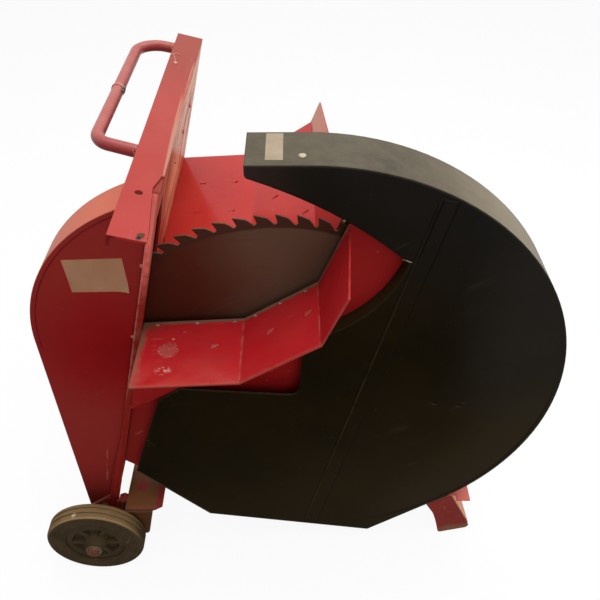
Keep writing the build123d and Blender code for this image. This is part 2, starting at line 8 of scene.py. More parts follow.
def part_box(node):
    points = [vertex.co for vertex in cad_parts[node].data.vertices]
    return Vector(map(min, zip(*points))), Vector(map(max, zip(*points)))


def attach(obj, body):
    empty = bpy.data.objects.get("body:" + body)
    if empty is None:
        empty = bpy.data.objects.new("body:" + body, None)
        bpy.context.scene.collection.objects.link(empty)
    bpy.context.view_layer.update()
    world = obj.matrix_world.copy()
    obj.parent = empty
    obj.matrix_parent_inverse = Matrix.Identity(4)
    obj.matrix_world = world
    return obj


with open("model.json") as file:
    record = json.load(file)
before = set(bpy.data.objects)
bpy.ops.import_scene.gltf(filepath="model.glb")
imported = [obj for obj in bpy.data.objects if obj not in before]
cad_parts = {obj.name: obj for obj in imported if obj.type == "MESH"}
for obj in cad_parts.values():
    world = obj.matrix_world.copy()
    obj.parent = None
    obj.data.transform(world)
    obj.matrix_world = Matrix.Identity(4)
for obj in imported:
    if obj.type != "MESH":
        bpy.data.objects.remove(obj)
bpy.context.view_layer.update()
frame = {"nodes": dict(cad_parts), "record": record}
nodes = frame["nodes"]
print("frame:", len(nodes), "CAD nodes")

bladeCentre = Vector((-0.0035, -0.202, 0.512))  # the CAD's own zero, in the row frame
wallTop = (-168, 433)  # X and Z of the leaning wall's upper edge
wallLean = 14.0
wallSlope = math.tan(math.radians(wallLean))


def at(x, y, z):  # millimetres from the blade's centre, as the CAD counts them
    return bladeCentre + Vector((x, y, z)) / 1000


def onWall(y, z, left=0.0):  # a point of the leaning wall's right face, or so far to its left
    lean = math.radians(wallLean)
    x = wallTop[0] - (wallTop[1] - z) * wallSlope
    return at(x - left * math.cos(lean), y, z + left * math.sin(lean))


def shade(tone, share):
    return tuple(c * share for c in tone)


# shader maths

class Field:  # one socket, with operators for the node maths
    def __init__(self, paint, socket):
        self.paint, self.socket = paint, socket

    def maths(self, operation, *others):
        return self.paint.maths(operation, self, *others)

    def __add__(self, other):
        return self.maths("ADD", other)

    def __sub__(self, other):
        return self.maths("SUBTRACT", other)

    def __rsub__(self, other):
        return self.paint.maths("SUBTRACT", other, self)

    def __mul__(self, other):
        return self.maths("MULTIPLY", other)

    def __truediv__(self, other):
        return self.maths("DIVIDE", other)

    def __pow__(self, other):
        return self.maths("POWER", other)

    __radd__, __rmul__ = __add__, __mul__

    def step(self, low, high):  # 0 below low, 1 above high, smooth between
        ends = {"Value": self, "From Min": low, "From Max": high}
        return self.paint.add("ShaderNodeMapRange", {"interpolation_type": "SMOOTHSTEP"}, ends)

    def fade(self, low, high):  # 1 below low, 0 above high
        return 1 - self.step(low, high)

    def band(self, low, high, soft):  # 1 between low and high, fading over soft
        return self.step(low - soft, low + soft) * self.fade(high - soft, high + soft)

    def clip(self):
        clamped = {"operation": "MULTIPLY", "use_clamp": True}
        return self.paint.add("ShaderNodeMath", clamped, {0: self, 1: 1.0})


class Paint:  # one material and its nodes
    def __init__(self, name, look=None, **fixed):
        self.look = look
        self.mat = bpy.data.materials.new(name)
        self.mat.use_nodes = True
        self.tree = self.mat.node_tree
        self.shader = self.tree.nodes["Principled BSDF"]
        for key, value in fixed.items():
            self.shader.inputs[key.replace("_", " ")].default_value = value
        self.tone = self.soft = None
        self.place = self.add("ShaderNodeTexCoord", out="Object")
        self.normal = self.add("ShaderNodeNewGeometry", out="Normal")

    def feed(self, socket, value):
        if isinstance(value, Field):
            self.tree.links.new(value.socket, socket)
        else:
            socket.default_value = value

    def add(self, kind, settings=None, sockets=None, out=0):
        node = self.tree.nodes.new(kind)
        for key, value in (settings or {}).items():
            setattr(node, key, value)
        for key, value in (sockets or {}).items():
            self.feed(node.inputs[key], value)
        return Field(self, node.outputs[out])

    def maths(self, operation, *values):
        return self.add("ShaderNodeMath", {"operation": operation}, dict(enumerate(values)))

    def mix(self, mask, low, high):  # colours: low where the mask is 0, high where it is 1
        low, high = (c if isinstance(c, Field) else (*c, 1.0) for c in (low, high))
        return self.add("ShaderNodeMix", {"data_type": "RGBA"}, {0: mask, 6: low, 7: high}, 2)

    def named(self, value):  # a value, or its name in the look
        return self.look[value] if isinstance(value, str) else value

    def lay(self, mask, colour):  # one more coat of colour over the tone so far
        self.tone = self.mix(mask, self.tone, self.named(colour))

    def noise(self, scale, detail=4.0, rough=0.55, stretch=(1, 1, 1), shift=(0, 0, 0), turn=0.0):
        turned = self.place
        if turn:  # turned about Y, in degrees
            turned = self.add("ShaderNodeVectorRotate", {"rotation_type": "Y_AXIS"},
                              {"Vector": self.place, "Angle": math.radians(turn)})
        spot = self.add("ShaderNodeMapping", None, {"Vector": turned, "Location": shift, "Scale": stretch})
        return self.add("ShaderNodeTexNoise", None,
                        {"Vector": spot, "Scale": scale, "Detail": detail, "Roughness": rough})

    def part(self, vector, axis):
        return self.add("ShaderNodeSeparateXYZ", None, {0: vector}, "XYZ".index(axis))

    def mm(self, axis):  # distance from the blade's centre along one axis
        return (self.part(self.place, axis) - bladeCentre["XYZ".index(axis)]) * 1000

    x = property(lambda self: self.mm("X"))
    y = property(lambda self: self.mm("Y"))
    z = property(lambda self: self.mm("Z"))

    def away(self, **spot):  # distance from a point, or from a line along the axes not named
        total = None
        for axis, value in spot.items():
            square = (self.mm(axis.upper()) - value) ** 2
            total = square if total is None else total + square
        return total ** 0.5

    def near(self, spot, low, high, rag=None):  # 1 close to a spot, gone past high, with a ragged edge
        reach = self.away(**self.named(spot))
        return (reach if rag is None else reach + rag).fade(low, high)

    def stroke(self, start, end, half):  # 1 along a straight line drawn over X and Z
        run = Vector(end) - Vector(start)
        x, z = self.x - start[0], self.z - start[1]
        length, run = run.length, run.normalized()
        across, along = z * run.x - x * run.y, x * run.x + z * run.y
        return across.band(-half, half, half * 0.6) * along.band(0, length, 2)

    def facing(self, axis, low, high):
        return self.part(self.normal, axis).step(low, high)

    def front(self):  # 1 on faces that look towards the short end
        return self.part(self.normal, "Y").fade(-0.95, -0.55)

    def rounded(self, radius):  # 0 on flats, 1 at sharp edges
        self.soft = self.add("ShaderNodeBevel", {"samples": 4}, {"Radius": radius})
        both = {0: self.soft, 1: self.normal}
        dot = self.add("ShaderNodeVectorMath", {"operation": "DOT_PRODUCT"}, both, "Value")
        return ((1 - dot) * 3).clip()

    def finish(self, rough, metal=None, height=None, strength=0.3, depth=0.001, coat=None):
        given = {"Base Color": self.tone, "Roughness": rough, "Metallic": metal, "Coat Weight": coat}
        for name, value in given.items():
            if value is not None:
                self.feed(self.shader.inputs[name], value)
        if height is not None:
            sockets = {"Strength": strength, "Distance": depth, "Height": height}
            if self.soft:
                sockets["Normal"] = self.soft
            self.feed(self.shader.inputs["Normal"], self.add("ShaderNodeBump", None, sockets))
        return self.mat


# red paint in its states of wear

basicRed = {
    "red": (0.46, 0.014, 0.017), "deep": (0.37, 0.009, 0.011), "dust": 0.25, "dustTone": (0.5, 0.13, 0.095),
    "grime": 0.2, "grimeTone": (0.11, 0.03, 0.018), "edge": 0.6, "bare": (0.42, 0.17, 0.12),
    "scratch": 0.4, "scratchTone": (0.46, 0.19, 0.15), "along": (1, 1, 9), "turn": 0.0,
    "chips": 0.35, "gloss": 0.02, "coat": 0.4, "shine": 0.3,
}


class RedPaint(Paint):
    def __init__(self, name, own):
        look = {**basicRed, **own["paint"]}
        super().__init__(name, own, Specular_IOR_Level=look["gloss"], Coat_Roughness=look["shine"])
        self.grain = self.noise(140, 3)
        self.tone = self.mix(self.noise(6, 5).step(0.3, 0.72), look["red"], look["deep"])
        settled = self.noise(10, 6, shift=(3, 1, 0)).step(0.2, 0.75)
        dust = self.facing("Z", 0.05, 0.95) * settled * look["dust"]
        self.lay(dust, look["dustTone"])
        grime = self.noise(17, 7, shift=(0, 7, 2)).step(0.5, 0.8) * look["grime"]
        self.lay(grime, look["grimeTone"])
        fine = self.noise(26, 3, 0.6, look["along"], (2, 5, 1), look["turn"]).step(0.62, 0.74)
        patches = self.noise(4, 3, shift=(9, 0, 4)).step(0.42, 0.62)
        self.lay(fine * patches * look["scratch"], look["scratchTone"])
        spots = self.noise(75, 2, shift=(1, 4, 8)).step(0.7, 0.74) * self.noise(8, 4).step(0.45, 0.6)
        self.lay(spots * look["chips"], look["bare"])
        worn = self.rounded(0.0025) * self.noise(60, 5, shift=(5, 0, 0)).step(0.36, 0.6)
        self.lay((worn * look["edge"]).clip(), look["bare"])
        self.rough = 0.42 + self.grain * 0.14 + dust * 0.25 + grime * 0.2 + worn * 0.1
        self.coat = (1 - self.front()) * (1 - grime) * look["coat"]  # clear gloss, gone where the dirt sits

    def flecks(self, low, high):
        return self.noise(190, 3, 0.6, shift=(2, 2, 6)).step(low, high)

    def done(self):
        return self.finish(self.rough, height=self.grain, strength=0.08, coat=self.coat)


evenReds = {  # worn alike all over
    "frameRed": {},
    # the right beam's red and dust tone sit far above the frame's: dust and painted light, for light that the
    # guard's shadow takes from its top
    "rightBeamPaintedLightRed": {"red": (0.84, 0.12, 0.09), "deep": (0.76, 0.1, 0.07), "dust": 0.4,
                     "dustTone": (0.9, 0.3, 0.22), "coat": 0.5},
    "handleRed": {"red": (0.31, 0.047, 0.045), "deep": (0.27, 0.041, 0.039), "dust": 0.6, "scratch": 0.3,
                  "grime": 0.08, "dustTone": (0.44, 0.15, 0.12), "along": (6, 1, 6), "coat": 0.6},
    "bracketRed": {"red": (0.11, 0.046, 0.017), "deep": (0.085, 0.036, 0.013), "dust": 0.5, "grime": 0.5,
                   "edge": 0.4, "dustTone": (0.18, 0.11, 0.065), "scratchTone": (0.16, 0.09, 0.05),
                   "coat": 0.1},
    "capRed": {"red": (0.14, 0.044, 0.024), "deep": (0.1, 0.034, 0.019), "dust": 0.3, "grime": 0.4,
               "coat": 0.1, "dustTone": (0.24, 0.1, 0.06)},
    "barbRed": {"red": (0.45, 0.045, 0.045), "deep": (0.42, 0.03, 0.03), "edge": 0.8,
                "bare": (0.54, 0.19, 0.16), "chips": 0, "coat": 0.2},
}
evenRed = {name: RedPaint(name, {"paint": changes}).done() for name, changes in evenReds.items()}


cradleLook = {
    "paint": {"red": (0.42, 0.01, 0.015), "deep": (0.36, 0.007, 0.01), "dust": 0.12, "grime": 0.1,
              "scratch": 0.25, "along": (1, 6, 1), "coat": 0.22, "dustTone": (0.44, 0.09, 0.07)},
    "folds": ({"x": -61, "z": 155}, {"x": 68, "z": 238}), "foldTone": (0.38, 0.1, 0.07),
    "backTone": (0.16, 0.1, 0.065), "cloudTone": (0.47, 0.075, 0.06), "corner": {"x": -244, "y": -16},
    "cornerTone": (0.12, 0.07, 0.042), "barb": {"x": -187, "y": -90}, "discTone": (0.33, 0.095, 0.075),
    "wearTone": (0.46, 0.15, 0.125), "bald": (-188, -138), "baldSize": (15, 10),
    "baldTone": (0.56, 0.3, 0.25), "speck": {"x": -181, "y": -64},
}


def nearCradleRed(look):
    paint = RedPaint("nearCradleRed", look)
    rag = paint.noise(45, 6, shift=(0, 3, 3))
    for fold in look["folds"]:
        paint.lay(paint.near(fold, 0.8, 3.2) * rag.step(0.42, 0.6) * 0.7, "foldTone")
    cloud = paint.noise(9, 5, shift=(2, 6, 1))
    dusty = (paint.y + cloud * 90).fade(-120, -50) * cloud.step(0.36, 0.62)
    paint.lay(dusty * (0.45 - paint.x.step(-80, -40) * 0.3), "cloudTone")
    frontEdge = (paint.y + rag * 16).fade(-166, -158)
    paint.lay(frontEdge * 0.35, "foldTone")
    leftEdge = (paint.x + rag * 26).fade(-226, -210)
    paint.lay(leftEdge * 0.75, "foldTone")
    backEdge = (paint.y + rag * 10).step(-22, -18)
    paint.lay(backEdge * 0.9, "backTone")
    corner = paint.near("corner", 22, 70, rag * 44) * 0.85
    dirt = (paint.x + rag * 22).fade(-226, -212) * (0.3 + paint.y.step(-120, -60) * 0.5)
    paint.lay(corner.maths("MAXIMUM", dirt), "cornerTone")
    reach = paint.away(**look["barb"]) + rag * 8
    paint.lay(reach.fade(15, 24) * 0.55, "discTone")
    paint.lay(reach.band(17, 22, 2.5) * paint.flecks(0.46, 0.62) * 0.6, "wearTone")
    (x, y), (wide, deep) = look["bald"], look["baldSize"]
    spread = (((paint.x - x) / wide) ** 2 + ((paint.y - y) / deep) ** 2) ** 0.5 + rag * 0.8
    paint.lay(spread.fade(0.7, 1.6) * paint.flecks(0.46, 0.6) * 0.85, "baldTone")
    paint.lay(paint.near("speck", 3, 6, rag * 5) * 0.8, "baldTone")
    return paint.done()


farCradleLook = {
    "paint": {"red": (0.44, 0.022, 0.017), "deep": (0.4, 0.016, 0.014), "dust": 0.12, "grime": 0.08,
              "scratch": 0.25, "along": (1, 6, 1), "coat": 0.55, "shine": 0.16,
              "dustTone": (0.46, 0.1, 0.06)},
    "spikeDustAndSheen": (0.62, 0.24, 0.115),
}


def farCradleRed(look):
    paint = RedPaint("farCradleRed", look)
    upright = (paint.z + paint.noise(30, 5) * 20).step(250, 262) * paint.x.step(60, 66)
    spike = upright * paint.y.step(280, 430) * (1 - paint.facing("X", -0.5, -0.1))
    # the top of the far upright is painted pale orange: dust and a painted sheen
    paint.lay(spike * 0.75, "spikeDustAndSheen")
    paint.coat = paint.coat * (1 - paint.x.step(-75, -45) * 0.3)
    return paint.done()


wallLook = {
    "paint": {"red": (0.44, 0.035, 0.03), "deep": (0.36, 0.028, 0.022), "dust": 0.1, "scratch": 0.5,
              "along": (8, 0.6, 8), "turn": wallLean, "coat": 0.27, "shine": 0.2},
    "scrape": (1.0, 0.6, 0.33), "rub": (0.46, 0.14, 0.09), "dull": (0.26, 0.13, 0.075),
    "shelfShade": (0.23, 0.045, 0.034), "scuff": (1.0, 0.72, 0.48),
}


def wallRed(look):
    paint = RedPaint("wallRed", look)
    blot = paint.noise(8, 5, 0.6, shift=(4, 4, 1))
    streaks = paint.noise(19, 6, 0.7, stretch=(1, 0.2, 1), shift=(0, 2, 1))
    drops = paint.noise(30, 5, 0.65, stretch=(1, 1, 0.14), turn=-wallLean)
    high = (paint.z + drops * 120).step(195, 320) * paint.facing("X", 0.2, 0.6)  # where the logs land
    high = high * (0.25 + (paint.y + blot * 120).step(150, 300) * 0.75)
    paint.lay((streaks + blot * 0.5).step(0.6, 0.78) * high * 0.9, "scrape")
    paint.lay((drops + blot * 0.4).step(0.66, 0.78) * high * 0.8, "scrape")
    thin = paint.noise(85, 3, stretch=(1, 0.06, 1), shift=(1, 1, 7)).step(0.6, 0.7) * blot.step(0.4, 0.6)
    paint.lay(thin * high * 0.6, "scuff")
    rubbed = paint.noise(34, 5, stretch=(1, 0.16, 1), shift=(2, 2, 2)).step(0.54, 0.68)
    paint.lay(rubbed * 0.6, "rub")
    dull = paint.noise(22, 5, stretch=(1, 0.2, 0.6), shift=(7, 2, 2)).step(0.56, 0.68)
    paint.lay(dull * paint.y.step(80, 170) * high * 0.6, "dull")
    # the wall's top at the near end is painted dark red and left without gloss: painted shade
    shelfShade = paint.z.step(422, 425) * paint.y.fade(-3, 1) * 0.9
    paint.lay(shelfShade, "shelfShade")
    paint.coat = paint.coat * (1 - shelfShade)
    paint.rough = paint.rough + streaks * 0.1
    return paint.done()


plateLook = {
    "paint": {"red": (0.34, 0.026, 0.02), "deep": (0.31, 0.022, 0.017), "dust": 0.3, "scratch": 0.2,
              "dustTone": (0.37, 0.085, 0.06), "along": (6, 1, 6), "grime": 0.08, "coat": 0.5},
    "farTone": (0.22, 0.032, 0.014), "nearTone": (0.36, 0.012, 0.01), "lipShade": (0.13, 0.008, 0.01),
    "bendTone": (0.38, 0.18, 0.12), "chip": {"x": -176, "y": -160}, "chipTone": (0.06, 0.045, 0.028),
    "hole": {"x": -179.2, "y": -168.1}, "holeShade": (0.006, 0.004, 0.004), "scratch": (-193, 286),
}


def topPlateRed(look):
    paint = RedPaint("topPlateRed", look)
    paint.lay(paint.y.step(150, 520) * 0.7, "farTone")
    paint.lay(paint.y.fade(-170, 20) * 0.4, "nearTone")
    # the lip's near-end face is painted almost black: painted shade
    paint.lay(paint.front() * paint.x.fade(-212, -206) * 0.8, "lipShade")
    streaks = paint.noise(70, 4, stretch=(1, 0.06, 1), shift=(3, 1, 2))
    hairs = paint.noise(210, 3, stretch=(1, 0.02, 1), shift=(1, 0, 3))
    bend = (paint.x + paint.y * 0.022 - streaks * 12).step(-179, -177) * paint.y.band(10, 430, 45)
    bend = bend * (1 - paint.y.step(150, 300) * hairs.fade(0.5, 0.58))  # only hairlines at the far end
    paint.lay(bend * 0.85, "bendTone")
    paint.lay(bend * streaks.step(0.52, 0.6) * 0.35, wallLook["scrape"])
    fine = paint.noise(90, 5, shift=(6, 1, 1))
    chip = paint.near("chip", 10.5, 14, fine * 14)
    paint.lay(chip * 0.9, "chipTone")
    paint.coat = paint.coat * (1 - chip)
    # a near-black disc stands for the hole in the plate: painted shade
    paint.lay(paint.near("hole", 5, 7, fine * 6), "holeShade")
    x, y = look["scratch"]
    line = paint.y.band(y - 1.2, y + 1.2, 0.6) * paint.x.band(x - 9, x + 9, 3) * fine.step(0.4, 0.55)
    paint.lay(line * 0.5, "chipTone")
    return paint.done()


housingLook = {
    "paint": {"red": (0.26, 0.006, 0.008), "deep": (0.22, 0.004, 0.005), "dust": 0.5,
              "dustTone": (0.58, 0.145, 0.08), "grime": 0.1, "scratch": 0.2, "along": (7, 7, 0.6),
              "coat": 0.3, "edge": 0.4},
    "round": {"x": -137, "z": 122}, "radius": 295.5, "shadedInside": (-38.6, 36.2), "dark": (0.004, 0.003, 0.003),
    "rim": (0.58, 0.145, 0.08), "flank": (0.27, 0.02, 0.018), "low": (0.2, 0.018, 0.012),
    "clean": {"x": -300, "z": 100}, "haze": (0.26, 0.033, 0.025),
    "scratch": ((-357, -159), (-382, -298)), "rub": (0.42, 0.15, 0.11),
}


def housingRed(look):
    paint = RedPaint("housingRed", look)
    cloud = paint.noise(4, 4)
    # the face turns paler and greyer away from the spot named clean: a painted sheen
    haze = (paint.away(**look["clean"]) + cloud * 120 - 60).step(40, 230)
    paint.lay(haze * 0.6, "haze")
    paint.lay((paint.z + cloud * 120).fade(-330, -150) * 0.6, "low")
    reach, upper = paint.away(**look["round"]), paint.z.step(130, 340)
    # the upper rim is painted pale orange: a painted sheen
    rim = reach.step(look["radius"] - 1.5, look["radius"] - 0.6) * upper
    paint.lay(rim * 0.8, "rim")
    flank = paint.z.fade(180, 270) * (1 - paint.front())
    paint.lay(flank * 0.85, "flank")
    paint.coat = paint.coat * (0.3 + upper * 0.6) * (1 - flank * 0.7)
    dashes = paint.noise(60, 4, stretch=(1, 1, 0.5), shift=(6, 0, 0)).step(0.4, 0.52)
    paint.lay(paint.stroke(*look["scratch"], 1.1) * dashes * paint.front() * 0.8, "rub")
    # the inside of the shell, between its faces, is painted near black: painted shade
    paint.lay(paint.y.band(*look["shadedInside"], 0.2) * reach.fade(291, 293), "dark")
    return paint.done()


armLook = {
    "paint": {"red": (0.25, 0.014, 0.01), "deep": (0.21, 0.009, 0.006), "dust": 0.5,
              "dustTone": (0.42, 0.13, 0.09), "scratch": 0.3, "along": (7, 7, 0.5), "edge": 0.35},
    "worn": (0.94, 0.205, 0.165), "streak": (0.44, 0.14, 0.09), "brown": (0.17, 0.038, 0.022),
    "tan": (0.21, 0.068, 0.038), "edge": (0.58, 0.21, 0.155), "foot": ((-383.5, -351.5), (-428.0, -380.0)),
    "footTone": (0.3, 0.095, 0.07), "spot": {"x": -400, "z": -380}, "spotTone": (0.3, 0.15, 0.09),
}


def armRed(look):
    paint = RedPaint("armRed", look)
    rag = paint.noise(45, 5, shift=(2, 0, 2))
    streaks = paint.noise(75, 5, 0.65, stretch=(1, 1, 0.06), shift=(3, 0, 0), turn=-wallLean)
    # the upper arm is painted pale: worn paint, brightened further as painted light where the top plate
    # shades it
    worn = (paint.z + rag * 160).step(288, 440)
    paint.lay((worn * (0.7 + streaks * 0.6)).clip(), "worn")
    paint.lay(streaks.step(0.53, 0.62) * (0.06 + worn * 0.4), "streak")
    paint.lay(paint.z.band(20, 190, 60) * rag.step(0.36, 0.56) * 0.55, "tan")
    paint.lay(streaks.fade(0.34, 0.42) * worn * 0.5, "brown")
    left = paint.z * wallSlope - paint.x + wallTop[0] - wallTop[1] * wallSlope  # from the wall's face
    paint.lay(left.fade(1.5, 5) * worn * 0.6, "brown")
    paint.lay(left.step(9.6, 12.0) * paint.z.step(-60, 60) * rag.step(0.36, 0.5) * 0.6, "edge")
    # the arm's top face is painted dark brown and left without gloss: painted shade
    top = paint.z.step(405, 420) * paint.facing("Z", 0.5, 0.9)
    paint.lay(top, "brown")
    paint.coat = paint.coat * (1 - top)
    paint.lay(paint.stroke(*look["foot"], 3.0) * rag.step(0.3, 0.5) * 0.8, "footTone")
    paint.lay(paint.near("spot", 9, 12.5, rag * 6) * 0.85, "spotTone")
    return paint.done()


sideLook = {
    "paint": {"red": (0.3, 0.011, 0.011), "deep": (0.27, 0.007, 0.008), "dust": 0.3, "edge": 0.9,
              "scratch": 0.2},
    "light": (0.33, 0.017, 0.017), "low": (0.28, 0.028, 0.019), "tickTone": (0.42, 0.16, 0.12),
    "tick": ((-301, -152), (-296, -155), (-285, -145)),
}


def sidePlateRed(look):
    paint = RedPaint("plateRed", look)
    paint.lay(paint.z.step(120, 260) * 0.6, "light")
    paint.lay((paint.z + paint.noise(9, 5) * 80).fade(-110, 20) * 0.5, "low")
    start, turn, end = look["tick"]
    tick = paint.stroke(start, turn, 0.9).maths("MAXIMUM", paint.stroke(turn, end, 0.9))
    paint.lay(tick * paint.y.fade(-20, 0) * 0.7, "tickTone")
    return paint.done()


beamLook = {
    "paint": {"red": (0.3, 0.022, 0.022), "deep": (0.24, 0.016, 0.016), "dust": 0.15, "grime": 0.15,
              "coat": 0.2},
    "dirt": (0.185, 0.072, 0.026), "patch": {"x": -316, "y": -24}, "low": (0.1, 0.055, 0.03),
    "end": (0.25, 0.085, 0.05),
}


def beamRed(look):
    paint = RedPaint("beamRed", look)
    rag = paint.noise(26, 6, shift=(4, 2, 0))
    strip = (paint.x + rag * 8).step(-277, -271)
    clean = paint.near("patch", 52, 66, rag * 90).maths("MAXIMUM", strip)
    dirt = paint.facing("Z", 0.2, 0.8) * (1 - clean)
    paint.lay(dirt * (0.7 + rag.step(0.35, 0.55) * 0.3), "dirt")
    paint.lay((paint.z + rag * 20).fade(-372, -352) * 0.7, "low")
    paint.lay((paint.y + rag * 10).fade(-70, -60) * dirt * 0.6, "end")
    return paint.done()


legLook = {
    "paint": {"red": (0.27, 0.035, 0.026), "deep": (0.22, 0.024, 0.02), "dust": 0.7,
              "dustTone": (0.5, 0.21, 0.14), "grime": 0.3},
    "flangeHighlight": (0.82, 0.38, 0.22), "foot": (0.22, 0.115, 0.06),
}


def legRed(look):
    paint = RedPaint("legRed", look)
    paint.lay(paint.facing("X", 0.3, 0.7) * 0.85, "flangeHighlight")  # the folded flange, facing right, is painted pale: a painted highlight
    paint.lay((paint.z + paint.noise(40, 5) * 40).fade(-488, -462) * 0.75, "foot")
    return paint.done()


# the other finishes

guardLook = {
    "black": (0.0078, 0.005, 0.0014), "brown": (0.012, 0.007, 0.0019), "haze": (0.02, 0.015, 0.007),
    "grey": (0.0124, 0.0121, 0.0124), "low": (0.024, 0.016, 0.0066), "line": (0.05, 0.04, 0.026),
    "speck": (0.11, 0.09, 0.06), "dust": (0.073, 0.057, 0.032), "glare": (0.22, 0.17, 0.1),
    "tip": (0.036, 0.021, 0.018), "olive": (0.03, 0.0225, 0.012), "lip": (0.034, 0.023, 0.01),
    "bare": (0.11, 0.075, 0.05), "pale": (0.023, 0.02, 0.0165), "smudge": {"x": 168, "y": -30},
    "centre": {"x": 51, "z": 12}, "mouth": {"x": -10, "z": 360}, "hem": ((-304, -241), (-166, -400)),
    "scores": (((-268, -136), (-262, -150)), ((-262, -148), (-256, -160)), ((-270, -150), (-266, -158))),
}


class BlackPaint(Paint):
    def __init__(self, name, look):
        super().__init__(name, look, Specular_IOR_Level=0.01, Coat_Roughness=0.32)
        self.edge = self.rounded(0.006)
        self.normal = self.soft  # the folds pass softly from face to rim
        self.mottle = self.noise(4.5, 6, 0.6)
        self.tone = self.mix(self.mottle.step(0.38, 0.66), look["black"], look["brown"])
        upper = (self.x * 0.6 + self.z).step(230, 640) * (0.6 + self.mottle * 0.5)
        self.lay(upper.clip() * 0.8, "grey")
        low = (self.x * 0.6 - self.z).step(60, 420) * (0.3 + self.mottle)
        self.lay((low * 0.8).clip(), "low")
        self.haze = self.noise(16, 7, 0.7, shift=(3, 3, 1)).step(0.52, 0.8) * 0.5
        self.lay(self.haze, "haze")
        lines = self.noise(40, 4, stretch=(0.15, 1, 1.2), shift=(1, 6, 0), turn=35).step(0.64, 0.7)
        self.lay(lines * self.noise(6, 3).step(0.5, 0.65) * 0.4, "line")
        self.lay(self.noise(120, 2, shift=(7, 1, 2)).step(0.75, 0.79) * 0.5, "speck")

    def done(self, coat):
        rough = 0.5 + self.mottle * 0.15 + self.haze * 0.2
        return self.finish(rough, height=self.noise(160, 3), strength=0.05, coat=coat)


def guardBlack(look):
    paint = BlackPaint("guardBlack", look)
    front = paint.front()
    cloud = paint.noise(40, 6, 0.6).step(0.3, 0.7)
    smudge = paint.near("smudge", 14, 40, cloud * 20)
    paint.lay(paint.facing("Z", 0.05, 0.85) * (0.8 + cloud * 0.2) * (1 - smudge * 0.35), "dust")
    paint.lay(paint.facing("X", 0.3, 0.8) * paint.facing("Z", 0.35, 0.75) * 0.8, "glare")
    paint.lay(paint.x.fade(-43, 60) * paint.z.step(420, 440) * front * 0.7, "tip")
    reach = paint.away(**look["centre"])
    outer = reach.step(450, 462)  # the fold into the rim, not the cut edges
    low = paint.x.step(120, 300) * paint.z.fade(-60, 80) * front
    paint.lay(reach.step(300, 450) * low * 0.8, "olive")
    # a dark line along the lower right edge: painted shade of a hem that the sheet does not have there
    paint.lay(reach.band(459.5, 464.5, 1.2) * low * 0.7, "black")
    # a pale broken line along the fold into the rim: dust and a painted highlight
    paint.lay((paint.edge * outer * paint.noise(50, 4).step(0.3, 0.6) * 0.3).clip(), "dust")
    # the mouth's inward lip is painted olive and left without gloss: dust and painted light
    lip = paint.near("mouth", 228.4, 229.2) * paint.z.fade(309, 312) * paint.x.step(50, 60)
    paint.lay(lip, "lip")
    paint.lay(paint.stroke(*look["hem"], 1.6) * paint.noise(25, 5).step(0.36, 0.56) * 0.8, "bare")
    for start, end in look["scores"]:
        paint.lay(paint.stroke(start, end, 0.8) * cloud * 0.8, "bare")
    right = paint.x.step(280, 420) * paint.z.step(-160, 80) * front * (1 - paint.edge)
    paint.lay(right * (0.35 + paint.mottle * 0.6), "pale")
    bright = (1 - lip) * (1 - paint.x.step(330, 480) * 0.25) * (1 - paint.x.step(450, 512) * 0.5)
    return paint.done((1 - front) * (0.42 + cloud * 0.1) * bright * (1 - paint.edge * (1 - outer)))


stripLook = {"foot": (63.0, -428.0), "along": (0.2253, 0.9743), "half": 15.0, "tan": (0.04, 0.03, 0.017),
             "edgeShadow": (0.003, 0.0025, 0.002)}


def stripBlack(look):
    paint = BlackPaint("stripBlack", {**guardLook, **look})
    (x, z), (u, v), half = look["foot"], look["along"], look["half"]
    across = (paint.x - x) * v - (paint.z - z) * u
    rag = paint.noise(35, 5, 0.6, stretch=(1, 1, 0.3))
    faint = 0.75 - paint.z.step(60, 380) * 0.55
    # a pale broken line along the left edge is wear and a painted highlight; the dark lines along the right
    # edge, and inside the left above the mouth, are painted shadow
    paint.lay(across.band(-half - 1, -half + 2.6, 0.8) * rag.step(0.36, 0.56) * faint, "tan")
    paint.lay(across.band(half - 2.2, half + 1, 0.8) * 0.9, "edgeShadow")
    upper = paint.z.step(300, 330)
    paint.lay(across.band(-half + 3.6, -half + 6.2, 0.8) * upper * 0.9, "edgeShadow")
    paint.lay(paint.facing("Z", 0.1, 0.9) * 0.2, "dust")
    return paint.done((1 - paint.front()) * 0.1)


bladeLook = {"left": (0.074, 0.014, 0.0075), "right": (0.122, 0.066, 0.042), "teeth": (0.052, 0.018, 0.01),
             "line": (0.14, 0.075, 0.05), "band": 337.0, "tip": (0.16, 0.09, 0.06)}


